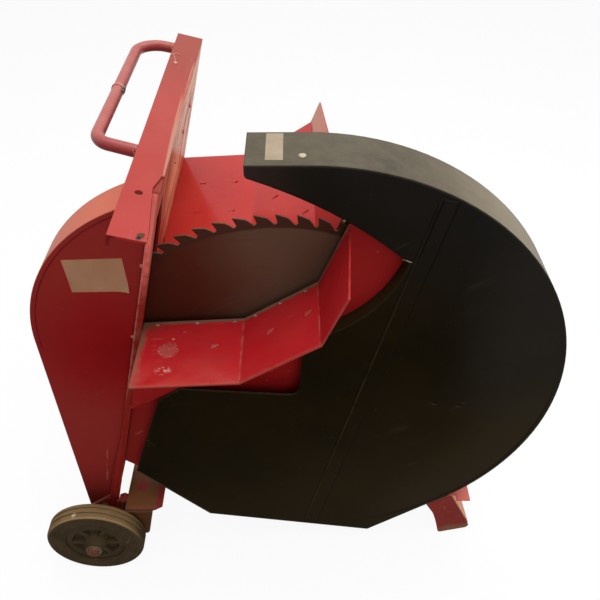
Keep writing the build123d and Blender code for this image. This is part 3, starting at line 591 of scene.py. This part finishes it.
def bladeSteel(look):
    paint = Paint("bladeSteel", look, Specular_IOR_Level=0.06)
    reach = paint.away(x=0, z=0)
    rings = paint.add("ShaderNodeCombineXYZ", None, {0: reach * 0.03, 1: paint.x * 0.0006, 2: 0.0})
    turned = paint.add("ShaderNodeTexNoise", None,
                       {"Vector": rings, "Scale": 9.0, "Detail": 6.0, "Roughness": 0.7})
    cloud = paint.noise(7, 5)
    swap = (paint.x + cloud * 90).step(-120, 60)
    paint.tone = paint.mix(swap, look["left"], look["right"])
    paint.lay(turned.step(0.56, 0.7) * 0.35, "line")
    scuff = paint.noise(30, 4, stretch=(0.12, 1, 1.5), shift=(2, 0, 2)).step(0.6, 0.7)
    paint.lay(scuff * cloud.step(0.4, 0.6) * 0.6, "teeth")
    faint = paint.noise(44, 4, stretch=(0.08, 1, 1.2), shift=(5, 0, 2)).step(0.62, 0.72) * swap
    paint.lay(faint * 0.35, "line")
    paint.lay((reach + cloud * 6).step(look["band"], look["band"] + 5) * 0.9, "teeth")
    edge = paint.part(paint.normal, "Y").maths("ABSOLUTE").fade(0.5, 0.9)
    paint.lay(edge * reach.step(330, 340) * 0.6, "tip")
    return paint.finish(0.42 + cloud * 0.2, metal=0.15 + turned * 0.15, height=turned, strength=0.06)


tyreLook = {
    "axle": {"x": -410, "z": -408}, "rings": ((70, 72, 0.5), (88, 90, 0.4)), "ringTone": (0.02, 0.014, 0.008),
    "side": (0.062, 0.04, 0.02), "dark": (0.045, 0.03, 0.015), "tread": (0.25, 0.155, 0.07),
    "groove": (0.36, 0.23, 0.11), "crown": (0.16, 0.105, 0.05), "spot": {"x": -438, "y": -119, "z": -309},
    "spotTone": (0.62, 0.5, 0.36),
}


def tyreRubber(look):
    paint = Paint("tyreRubber", look, Specular_IOR_Level=0.06)
    mottle = paint.noise(24, 6)
    paint.tone = paint.mix(mottle.step(0.35, 0.65), look["side"], look["dark"])
    reach = paint.away(**look["axle"])
    for low, high, share in look["rings"]:
        paint.lay(reach.band(low, high, 0.8) * share, "ringTone")
    dust = paint.facing("Z", 0.0, 0.8) * (0.65 + mottle.step(0.3, 0.6) * 0.35) * reach.step(78, 88)
    paint.lay(dust, "tread")
    # the tread groove is painted paler than the tread: painted light against the shade in it
    groove = reach.band(99.0, 102.6, 0.6) * paint.facing("Z", 0.0, 0.6)
    paint.lay(groove * 0.8, "groove")
    shoulder = paint.rounded(0.006) * (1 - paint.facing("Z", -0.9, -0.2)) * reach.step(82, 90)
    paint.lay(shoulder * 0.5, "crown")
    mud = paint.noise(60, 6, shift=(4, 1, 1)).step(0.6, 0.72)
    paint.lay(mud * 0.5, "crown")
    paint.lay(paint.near("spot", 7.5, 10, paint.noise(120, 4) * 8) * 0.9, "spotTone")
    return paint.finish(0.75 + mottle * 0.15, height=mottle, strength=0.25, depth=0.0015)


def plain(name, tone, deep, rough, metal=0.0, gloss=0.3, dust=(0.2, 0.17, 0.13), dusty=0.3, edges=0.35):
    paint = Paint(name, Specular_IOR_Level=gloss)
    mottle = paint.noise(22, 6)
    paint.tone = paint.mix(mottle.step(0.35, 0.7), tone, deep)
    settled = paint.facing("Z", 0.2, 0.95) * paint.noise(12, 6, shift=(1, 5, 0)).step(0.25, 0.7) * dusty
    paint.lay(settled, dust)
    worn = paint.rounded(0.002) * paint.noise(55, 4).step(0.4, 0.65) * edges
    paint.lay(worn, tuple(min(1.0, c * 1.9 + 0.02) for c in tone))
    rough = rough + mottle * 0.18 + settled * 0.2
    return paint.finish(rough, metal=metal, height=paint.noise(130, 3), strength=0.1)


finishes = {
    "red_paint": evenRed["frameRed"],
    "black_paint": guardBlack(guardLook),
    "blade_steel": bladeSteel(bladeLook),
    "bare_steel": plain("turnedSteel", (0.42, 0.4, 0.37), (0.25, 0.22, 0.19), 0.35, 0.9),
    "core_iron": plain("coreIron", (0.16, 0.15, 0.14), (0.1, 0.09, 0.08), 0.5, 0.7),
    "bush_bronze": plain("bushBronze", (0.5, 0.33, 0.14), (0.33, 0.2, 0.08), 0.35, 0.9),
    "motor_grey": plain("motorGrey", (0.12, 0.14, 0.15), (0.08, 0.092, 0.1), 0.42),
    "tyre_rubber": tyreRubber(tyreLook),
    "stop_rubber": plain("stopRubber", (0.02, 0.018, 0.016), (0.012, 0.011, 0.01), 0.7),
    "dark_plastic": plain("darkPlastic", tyreLook["side"], tyreLook["dark"], 0.7, gloss=0.06,
                          dust=(0.13, 0.09, 0.05), edges=0.1),
    "start_green": plain("startGreen", (0.02, 0.18, 0.03), (0.015, 0.12, 0.02), 0.3),
    "stop_red": plain("stopRed", (0.5, 0.012, 0.012), (0.35, 0.01, 0.01), 0.3),
}
dirtySteel = plain("dirtySteel", (0.17, 0.115, 0.065), (0.12, 0.08, 0.045), 0.6, gloss=0.1)
ownFinish = {
    "near_cradle": nearCradleRed(cradleLook), "far_cradle": farCradleRed(farCradleLook),
    "rocker_wall": wallRed(wallLook), "top_plate": topPlateRed(plateLook), "handle": evenRed["handleRed"],
    "side_housing": housingRed(housingLook), "guard_joint_strip": stripBlack(stripLook),
    "near_arm": armRed(armLook), "left_beam": beamRed(beamLook), "right_beam": evenRed["rightBeamPaintedLightRed"],
    "axle_caps": evenRed["capRed"], "axle_washers": dirtySteel, "axle": dirtySteel,
    **dict.fromkeys(("near_plate", "far_plate", "near_gusset", "close_stop"), sidePlateRed(sideLook)),
    **dict.fromkeys(("near_leg", "far_leg"), legRed(legLook)),
    **dict.fromkeys(("near_axle_bracket", "far_axle_bracket"), evenRed["bracketRed"]),
}
for row in frame["record"]["subparts"]:
    part = nodes[row["node"]]
    part.data.materials.clear()
    part.data.materials.append(ownFinish.get(row["node"], finishes[row["material_slot"]]))
print("finishes:", len(finishes) + len(set(ownFinish.values())))


# mesh tools

def link(obj):
    bpy.context.scene.collection.objects.link(obj)


def settle(piece, body):  # into the scene, riding on its body
    link(piece)
    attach(piece, body)


def addPiece(name, shape, mats, body="rocker", sharp=40):
    mesh = bpy.data.meshes.new(name)
    bmesh.ops.recalc_face_normals(shape, faces=shape.faces)
    shape.to_mesh(mesh)
    shape.free()
    for mat in mats:
        mesh.materials.append(mat)
    for face in mesh.polygons:
        face.use_smooth = True
    mesh.set_sharp_from_angle(angle=math.radians(sharp))
    settle(bpy.data.objects.new(name, mesh), body)


def wirePiece(name, paths, radius, mat):
    curve = bpy.data.curves.new(name, "CURVE")
    curve.dimensions, curve.use_fill_caps = "3D", True
    curve.bevel_depth, curve.bevel_resolution = radius / 1000, 3
    for path in paths:
        line = curve.splines.new("POLY")
        line.points.add(len(path) - 1)
        for point, spot in zip(line.points, path):
            point.co = (*spot, 1)
    curve.materials.append(mat)
    settle(bpy.data.objects.new(name, curve), "rocker")


def loft(shape, rings):  # rings of equal count, closed at both ends
    rows = [[shape.verts.new(p) for p in ring] for ring in rings]
    for a, b in zip(rows, rows[1:]):
        for i in range(len(a)):
            shape.faces.new((a[i], a[i - 1], b[i - 1], b[i]))
    shape.faces.new(rows[0])
    shape.faces.new(rows[-1][::-1])


def sides(axis):  # the unit axis and two unit vectors across it
    axis = Vector(axis).normalized()
    first = axis.orthogonal().normalized()
    return axis, first, axis.cross(first)


def ring(centre, first, second, radius, count):
    angles = [math.tau * i / count for i in range(count)]
    return [centre + (first * math.cos(a) + second * math.sin(a)) * radius / 1000 for a in angles]


def turnedForm(shape, centre, axis, profile, count=24):  # profile: (height, radius) in millimetres
    axis, first, second = sides(axis)
    loft(shape, [ring(centre + axis * h / 1000, first, second, r, count) for h, r in profile])


def panScrew(shape, centre, axis, r):  # domed head on a small washer
    washer = [(-0.4, r * 1.25), (0.6, r * 1.25)]
    head = [(0.7, r), (r * 0.45, r), (r * 0.75, r * 0.75), (r * 0.82, r * 0.2)]
    turnedForm(shape, centre, axis, washer + head, 20)


def direction(path, i):  # the way a path runs at one of its points
    return path[min(i + 1, len(path) - 1)] - path[max(i - 1, 0)]


def weldBead(shape, points, radius, seed, pitch=0.8):  # overlapping ripples along a path
    points = [Vector(p) for p in points]
    path = []
    for a, b in zip(points, points[1:]):
        count = max(2, round((b - a).length * 1000 / (radius * pitch)))
        path += [a.lerp(b, i / count) for i in range(count)]
    path.append(points[-1])
    rings = []
    for i, p in enumerate(path):
        _, first, second = sides(direction(path, i))
        ripple = 0.85 + 0.25 * (i % 2) + 0.3 * noise.noise((i * 0.7, seed, 0))
        atEnd = i in (0, len(path) - 1)
        rings.append(ring(p, first, second, radius * (0.35 if atEnd else ripple), 10))
    loft(shape, rings)


def tack(shape, spot, normal, radius, seed):  # one lumpy drop of weld
    axis, first, second = sides(normal)
    rings = []
    for h, r in ((-0.4, 0.95), (0.0, 1.0), (0.3, 0.85), (0.5, 0.5), (0.57, 0.15)):
        lump = [p + (p - spot) * 0.25 * noise.noise((p - spot) * 300 + Vector((seed, 0, 0)))
                for p in ring(spot + axis * h * radius / 1000, first, second, r * radius, 14)]
        rings.append(lump)
    loft(shape, rings)


def patch(shape, corners, normal, thick, cells, lift=lambda u, v: 0.0):  # thin plate, lifted in millimetres
    normal = Vector(normal)
    a, b, c, d = corners

    def spot(u, v, height):
        return a.lerp(b, u).lerp(d.lerp(c, u), v) + normal * (height + lift(u, v)) / 1000

    def grid(height):
        return [[shape.verts.new(spot(i / cells, j / cells, height)) for i in range(cells + 1)]
                for j in range(cells + 1)]
    top, low = grid(thick), grid(0.02)
    for i in range(cells):
        for j in range(cells):
            shape.faces.new((top[j][i], top[j][i + 1], top[j + 1][i + 1], top[j + 1][i]))
            shape.faces.new((low[j][i], low[j + 1][i], low[j + 1][i + 1], low[j][i + 1]))
    for i in range(cells):
        for g, h in ((0, 1), (cells, -1)):
            shape.faces.new((top[g][i], low[g][i], low[g][i + 1], top[g][i + 1])[::h])
            shape.faces.new((top[i][g], top[i + 1][g], low[i + 1][g], low[i][g])[::h])


# barbs punched up out of the sheets

barbLook = {
    "size": {"width": 8.0, "length": 11.0, "rise": 2.2},
    "nearSize": {"width": 11.0, "length": 13.0, "rise": 2.6},
    "rows": (213, 332, 451), "nearRow": -85, "reaches": (54, 128), "wallHeights": (345, 168),
    "line": ((-239.6, 146), (-61, 155), (68, 238)), "hole": (0.27, 0.012, 0.013),
    "notch": ((0.8, 0.3), (-0.8, 0.3), (-0.2, 1.15), (0.2, 1.15)),  # across and along, as shares of the size
    "tongue": ((-0.2, 1.2, 0.0), (0.0, 1.05, 0.2), (0.4, 0.8, 0.55), (0.75, 0.5, 0.85), (1.0, 0.18, 1.0)),
}


def barb(shape, spot, tip, normal, size):  # a tongue raised out of the sheet, with the notch ahead of it
    tip, normal = Vector(tip).normalized(), Vector(normal).normalized()
    side = normal.cross(tip)
    half, length, rise = size["width"] / 2000, size["length"] / 1000, size["rise"] / 1000
    notch = [shape.verts.new(spot + normal * 0.0002 + side * half * w + tip * length * t)
             for w, t in barbLook["notch"]]
    shape.faces.new(notch).material_index = 1
    rows = []
    for t, w, h in barbLook["tongue"]:
        low = spot + tip * length * t
        high = low + normal * (rise * h + 0.0003)
        out, inner = side * half * w, side * half * w * 0.7
        rows.append([high + inner, low + out, low - out, high - inner])
    loft(shape, rows)


def makeBarbs(look):
    dark = plain("barbShade", look["hole"], shade(look["hole"], 0.8), 0.7, gloss=0.05, dusty=0)
    near, far, wall = bmesh.new(), bmesh.new(), bmesh.new()
    for a, b in zip(look["line"], look["line"][1:]):
        run = (Vector(b) - Vector(a)).normalized()
        along, out = (run.x, 0, run.y), (-run.y, 0, run.x)
        for reach in look["reaches"]:
            x, z = Vector(a) + run * reach
            barb(near, at(x, look["nearRow"], z), along, out, look["nearSize"])
            for y in look["rows"]:
                barb(far, at(x, y, z), along, out, look["size"])
    lean = math.radians(wallLean)
    down, out = (-math.sin(lean), 0, -math.cos(lean)), (math.cos(lean), 0, -math.sin(lean))
    for z in look["wallHeights"]:
        for y in look["rows"]:
            barb(wall, onWall(y, z), down, out, look["size"])
    addPiece("near_cradle_barbs", near, [evenRed["barbRed"], dark], sharp=60)
    addPiece("far_cradle_barbs", far, [ownFinish["far_cradle"], dark], sharp=60)
    addPiece("wall_barbs", wall, [ownFinish["rocker_wall"], dark], sharp=60)


makeBarbs(barbLook)
print("barbs done")


# welds

weldLook = {
    "edge": {"spots": ((-214, 147), (-144, 151), (-78, 154), (-41, 168), (3, 196), (46, 224)), "y": -27,
             "radius": 2.3, "tone": (0.36, 0.19, 0.14), "deep": (0.2, 0.1, 0.07),
             "dust": (0.42, 0.25, 0.19)},
    "roots": {"rows": (67, 511), "centre": (-222.5, 437), "lap": (3.2, 12.2, 9.0), "count": 20,
              "radius": 1.7},
    "drops": {"spots": ((-217.7, 290.2), (-257.5, 131.8)), "face": -40, "radius": 4.2, "seed": 20},
    "stop": {"runs": ((-361, -400), (-355, -398)), "face": -56, "top": -351, "slant": 5.5, "radius": 2.6,
             "seed": 30, "tone": (0.2, 0.085, 0.05)},
    "beams": {"rows": (75, 290), "size": 60, "top": -362, "inset": 4, "feet": (-100, 100), "footRadius": 4.0,
              "ends": (-300, 344), "endRadius": 3.6},
    "farArm": {"sides": (349.5, 357.5), "stitches": ((308, 268), (228, 188), (140, 106)), "behind": 3,
               "radius": 3.2},
}


def weldCradleEdge(look):
    shape, y = bmesh.new(), look["y"]
    for i, (x, z) in enumerate(look["spots"]):
        weldBead(shape, [at(x - 3, y, z + 0.6), at(x + 4, y, z + 1.2)], look["radius"], i)
    metal = plain("weldTone", look["tone"], look["deep"], 0.5, dust=look["dust"], dusty=0.5)
    addPiece("near_cradle_tacks", shape, [metal])


def weldHandleRoots(look):  # on the lip of the top plate
    shape = bmesh.new()
    (x, z), (out, across, up), count = look["centre"], look["lap"], look["count"]
    turns = [math.tau * i / count for i in range(count + 1)]
    for y in look["rows"]:
        lap = [at(x - out * math.sin(a), y + across * math.cos(a), z + up * math.sin(a)) for a in turns]
        weldBead(shape, lap, look["radius"], y)
    addPiece("handle_welds", shape, [ownFinish["handle"]])


def weldArmDrops(look):  # beside the arm, on the housing
    shape = bmesh.new()
    for i, (x, z) in enumerate(look["spots"]):
        tack(shape, at(x, look["face"], z), (0, -1, 0), look["radius"], look["seed"] + i)
    addPiece("arm_welds", shape, [ownFinish["near_arm"]])


def weldStop(look):  # runs down the face of the closing stop
    shape, y = bmesh.new(), look["face"]
    for i, (x, low) in enumerate(look["runs"]):
        run = [at(x + look["slant"], y, look["top"]), at(x, y, low)]
        weldBead(shape, run, look["radius"], look["seed"] + i, pitch=1.1)
    rust = plain("stopWeld", look["tone"], shade(look["tone"], 0.6), 0.6, gloss=0.1)
    addPiece("stop_welds", shape, [rust], "frame")


def weldBeams(look):  # feet of the motor pedestal, and the ends of the cross beams
    shape = bmesh.new()
    top, size, inset = look["top"], look["size"], look["inset"]
    for near in look["rows"]:
        for x in look["feet"]:
            run = [at(x, near + inset, top), at(x, near + size - inset, top)]
            weldBead(shape, run, look["footRadius"], near + x)
        for x in look["ends"]:
            for y in (near, near + size):
                run = [at(x, y, top - inset), at(x, y, top - size + inset)]
                weldBead(shape, run, look["endRadius"], x + y)
    addPiece("beam_welds", shape, [finishes["red_paint"]], "frame")


def weldFarArm(look):  # stitches on the back of the wall
    shape, behind = bmesh.new(), look["behind"]
    for high, low in look["stitches"]:
        for y in look["sides"]:
            run = [onWall(y, high, behind), onWall(y, low, behind)]
            weldBead(shape, run, look["radius"], high + y)
    addPiece("far_arm_welds", shape, [finishes["red_paint"]])


weldCradleEdge(weldLook["edge"])
weldHandleRoots(weldLook["roots"])
weldArmDrops(weldLook["drops"])
weldStop(weldLook["stop"])
weldBeams(weldLook["beams"])
weldFarArm(weldLook["farArm"])
print("welds done")


# label, sticker, plug and seam on the sheet metal

labelLook = {"corners": ((-346, 303), (-248, 306), (-246, 237), (-342, 236)), "face": -40.0, "thick": 0.35,
             "curl": 5.0, "curlFrom": 1.72, "paper": (0.4, 0.205, 0.118), "stain": (0.35, 0.17, 0.096)}


def paperFinish(look, name):
    paint = Paint(name, look, Specular_IOR_Level=0.1)
    stain = paint.noise(16, 6)
    paint.tone = paint.mix(stain.step(0.35, 0.7), look["paper"], look["stain"])
    paint.lay(paint.noise(90, 4, shift=(3, 3, 3)).step(0.62, 0.72) * 0.3, "stain")
    return paint.finish(0.6 + stain * 0.2, height=paint.noise(60, 4), strength=0.1)


def makeLabel(look):
    shape, start = bmesh.new(), look["curlFrom"]

    def curl(u, v):  # the last corner stands off the sheet
        return look["curl"] * max(0.0, (u + v - start) / (2 - start)) ** 2
    corners = [at(x, look["face"], z) for x, z in look["corners"]]
    patch(shape, corners, (0, -1, 0), look["thick"], 18, curl)
    addPiece("housing_label", shape, [paperFinish(look, "labelPaper")])


makeLabel(labelLook)

rimLook = {"x": (-13, 13), "y": (-42, 40), "top": 482.0, "thick": 0.3, "paper": (0.325, 0.268, 0.19),
           "stain": (0.27, 0.21, 0.14), "plug": (41, -30), "plugTone": (0.5, 0.42, 0.3), "plugRadius": 6.0}


def makeRimTrim(look):
    sticker, plug = bmesh.new(), bmesh.new()
    (x0, x1), (y0, y1), top, r = look["x"], look["y"], look["top"], look["plugRadius"]
    corners = [at(x, y, top) for x, y in ((x0, y0), (x1, y0), (x1, y1), (x0, y1))]
    patch(sticker, corners, (0, 0, 1), look["thick"], 8)
    addPiece("rim_sticker", sticker, [paperFinish(look, "stickerPaper")])
    turnedForm(plug, at(*look["plug"], top), (0, 0, 1),
               [(-0.3, r), (0.8, r), (1.6, r * 0.92), (2.3, r * 0.6), (2.5, r * 0.15)])
    cream = plain("plugCream", look["plugTone"], shade(look["plugTone"], 0.7), 0.5)
    addPiece("rim_plug", plug, [cream])


makeRimTrim(rimLook)

seamLook = {"inset": 9.0, "radius": 0.8, "start": 101, "end": 183.0, "face": -40.0, "steps": 60,
            "tone": (0.15, 0.008, 0.009), "deep": (0.11, 0.006, 0.007)}


def makeSeam(look):
    middle, reach = housingLook["round"], housingLook["radius"] - look["inset"]
    start, end, steps = look["start"], look["end"], look["steps"]
    angles = [math.radians(start + (end - start) * i / steps) for i in range(steps + 1)]
    spots = [(middle["x"] + reach * math.cos(a), middle["z"] + reach * math.sin(a)) for a in angles]
    path = [at(x, look["face"], z) for x, z in spots]
    shape, inward = bmesh.new(), Vector((0, 1, 0))
    loft(shape, [ring(p, inward, direction(path, i).normalized().cross(inward), look["radius"], 8)
                 for i, p in enumerate(path)])
    groove = plain("seamShade", look["tone"], look["deep"], 0.6, gloss=0.03, dusty=0)
    addPiece("housing_seam", shape, [groove])


makeSeam(seamLook)
print("label, sticker, plug and seam done")


# tie on the handle, hook and drop on the top plate

tieLook = {
    "y": 300.0, "axis": (-295.5, 440.0), "tube": 11.0, "wire": 1.0, "turns": 3, "width": 6.8, "points": 24,
    "tone": (0.56, 0.24, 0.19), "knobs": ((7, -6, 5), (6, -15, 4)), "knobAxis": (1, -0.25, 0.1),
    "knobForm": ((0, 1.2), (3, 1.6), (5, 2.8), (7, 3.2), (8.5, 2.6), (9.2, 0.8)),
    "knob": (0.1, 0.11, 0.075), "knobDeep": (0.06, 0.065, 0.045),
}


def makeTie(look):
    (x, z), y, width, points = look["axis"], look["y"], look["width"], look["points"]
    reach = look["tube"] + look["wire"] * 0.8
    count = points * look["turns"]
    coil = [at(x + reach * math.cos(a), y - width / 2 + width * i / count, z + reach * math.sin(a))
            for i, a in enumerate(math.tau * i / points for i in range(count + 1))]
    wire = plain("tieWire", look["tone"], shade(look["tone"], 0.7), 0.5)
    wirePiece("handle_tie", [coil], look["wire"], wire)
    knobs = bmesh.new()
    for dx, dy, dz in look["knobs"]:
        turnedForm(knobs, at(x + dx, y + dy, z + dz), look["knobAxis"], look["knobForm"], 14)
    grey = plain("knobGrey", look["knob"], look["knobDeep"], 0.6)
    addPiece("handle_tie_knobs", knobs, [grey])


makeTie(tieLook)

hookLook = {
    "bend": ((-217.5, 449), (-216, 455), (-211, 462), (-204.5, 466), (-203, 462)),
    "stem": ((-213.5, 458), (-209, 440), (-205.3, 419)), "radius": 0.9, "tone": (0.5, 0.23, 0.18),
    "drop": (-205.3, 419), "dropForm": ((-0.6, 4.0), (0.2, 4.2), (0.9, 3.6), (1.4, 2.2), (1.6, 0.6)),
    "dropAxis": (0.24, 0, 0.97), "dropTone": (0.58, 0.34, 0.27),
}


def makeTopTrim(look):
    def onPlate(x, y):
        return at(x, y, wallTop[1] + (wallTop[0] - x) * wallSlope + look["radius"] * 0.7)
    pale = plain("hookWire", look["tone"], shade(look["tone"], 0.75), 0.5)
    paths = [[onPlate(*spot) for spot in look[line]] for line in ("bend", "stem")]
    wirePiece("top_plate_hook", paths, look["radius"], pale)
    shape = bmesh.new()
    turnedForm(shape, onPlate(*look["drop"]), look["dropAxis"], look["dropForm"], 18)
    cream = plain("dropTone", look["dropTone"], shade(look["dropTone"], 0.75), 0.5)
    addPiece("top_plate_drop", shape, [cream])


makeTopTrim(hookLook)
print("tie and hook done")


# pale sliver on the mouth's corner, a chipped bare edge with a painted glint, and small bolt on the guard

glintChipLook = {"sliver": ((199.5, 314.5), (216, 307.4)), "width": 1.8, "thick": 0.25, "steps": 8, "face": -58.0,
            "tone": (0.5, 0.42, 0.3), "bolt": (103.7, 387.6), "boltRadius": 2.0,
            "boltTone": (0.15, 0.115, 0.08)}


def makeGuardTrim(look):
    (x0, z0), (x1, z1), face = *look["sliver"], look["face"]
    front = face - look["thick"]
    rings = []
    for i in range(look["steps"] + 1):
        t = i / look["steps"]
        half = look["width"] / 2 * math.sin(math.pi * (0.06 + 0.88 * t))
        half *= 1 + 0.3 * noise.noise((t * 5, 3, 1))
        x, z = x0 + (x1 - x0) * t, z0 + (z1 - z0) * t
        rings.append([at(x, face, z - half), at(x, front, z - half * 0.6),
                      at(x, front, z + half * 0.6), at(x, face, z + half)])
    chip, bolt = bmesh.new(), bmesh.new()
    loft(chip, rings)
    # the pale sliver is a bare edge and a painted glint
    bare = plain("bareEdgeGlint", look["tone"], shade(look["tone"], 0.6), 0.4, gloss=0.2)
    addPiece("guard_mouth_glint_chip", chip, [bare])
    x, z = look["bolt"]
    panScrew(bolt, at(x, face, z), (0, -1, 0), look["boltRadius"])
    pale = plain("paleBolt", look["boltTone"], shade(look["boltTone"], 0.6), 0.5, gloss=0.2)
    addPiece("guard_mouth_bolt", bolt, [pale])


makeGuardTrim(glintChipLook)
print("guard trim done")


# screws on the lids and covers

screwLook = {
    "lid": {"y": (142, 228), "z": (-35, 35), "radius": 4.0},
    "cover": {"turns": (45, 135, 225, 315), "reach": 98, "y": 334, "radius": 4.0},
    "switch": {"x": (-36, 36), "y": 400, "z": (-250, -140), "radius": 3.6},
}


def makeMotorTrim(look):
    screws = bmesh.new()
    lid, cover, switch = look["lid"], look["cover"], look["switch"]
    lidX = (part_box("terminal_lid")[1][0] - bladeCentre.x) * 1000
    for y in lid["y"]:
        for z in lid["z"]:
            panScrew(screws, at(lidX, y, z), (1, 0, 0), lid["radius"])
    for turn in cover["turns"]:
        u, v = math.cos(math.radians(turn)), math.sin(math.radians(turn))
        panScrew(screws, at(cover["reach"] * u, cover["y"], cover["reach"] * v), (u, 0, v), cover["radius"])
    for x in switch["x"]:
        for z in switch["z"]:
            panScrew(screws, at(x, switch["y"], z), (0, 1, 0), switch["radius"])
    addPiece("motor_screws", screws, [finishes["bare_steel"]], "frame")


makeMotorTrim(screwLook)
print("motor trim done")


# stage

stageLook = {"tone": (0.55, 0.54, 0.53), "seenTone": (1.0, 1.0, 1.0), "size": 9.0, "glow": 0.92, "sky": 0.3}


def seenRay(paint):  # 1 for the camera and for what mirrors and glass show
    rays = [paint.add("ShaderNodeLightPath", out=name)
            for name in ("Is Camera Ray", "Is Glossy Ray", "Is Transmission Ray")]
    return rays[0].maths("MAXIMUM", rays[1]).maths("MAXIMUM", rays[2])


def makeStage(look):
    mesh = bpy.data.meshes.new("floor")
    half = look["size"] / 2
    corners = [(-half, -half, 0), (half, -half, 0), (half, half, 0), (-half, half, 0)]
    mesh.from_pydata(corners, [], [(0, 1, 2, 3)])
    floor = bpy.data.objects.new("floor", mesh)
    link(floor)
    paint = Paint("floorWhite", Roughness=0.9)
    seen = seenRay(paint)
    paint.feed(paint.shader.inputs["Base Color"], paint.mix(seen, look["tone"], look["seenTone"]))
    glow = paint.add("ShaderNodeEmission", None, {"Color": (1, 1, 1, 1), "Strength": 1.0})
    both = paint.add("ShaderNodeMixShader", None,
                     {0: seen * look["glow"], 1: Field(paint, paint.shader.outputs[0]), 2: glow})
    paint.tree.links.new(both.socket, paint.tree.nodes["Material Output"].inputs["Surface"])
    mesh.materials.append(paint.mat)


class Sky(Paint):  # the world's nodes, with the same maths
    def __init__(self, world):
        world.use_nodes = True
        self.tree = world.node_tree
        self.shader = self.tree.nodes["Background"]


def makeWorld(level):
    world = bpy.data.worlds.new("studio")
    bpy.context.scene.world = world
    sky = Sky(world)
    sky.shader.inputs["Color"].default_value = (1, 1, 1, 1)
    sky.feed(sky.shader.inputs["Strength"], seenRay(sky) * (1 - level) + level)


lampLooks = {
    "ceiling": {"from": (0.35, 0.2, 3.1), "to": (0, 0, 0.5), "size": 3.2, "power": 105},
    "front": {"from": (0.8, -3.0, 2.0), "to": (0, 0, 0.5), "size": 2.0, "power": 26},
}


def makeLamps(looks):
    for name, look in looks.items():
        lamp = bpy.data.lights.new(name, "AREA")
        lamp.size, lamp.energy = look["size"], look["power"]
        obj = bpy.data.objects.new(name, lamp)
        obj.location = look["from"]
        aim = Vector(look["to"]) - Vector(look["from"])
        obj.rotation_euler = aim.to_track_quat("-Z", "Y").to_euler()
        link(obj)


cameraLook = {"place": (0.0265, -1.113, 1.477), "down": 40.7, "right": 0.5, "lens": 40.8, "sensor": 36.0}


def makeCamera(look):
    camera = bpy.data.cameras.new("camera")
    camera.sensor_width, camera.lens = look["sensor"], look["lens"]
    obj = bpy.data.objects.new("camera", camera)
    obj.location = look["place"]
    obj.rotation_euler = (math.radians(90 - look["down"]), 0, math.radians(-look["right"]))
    link(obj)
    bpy.context.scene.camera = obj


makeStage(stageLook)
makeWorld(stageLook["sky"])
makeLamps(lampLooks)
makeCamera(cameraLook)
bpy.context.scene.view_settings.view_transform = "Standard"
print("stage, lamps and camera ready")
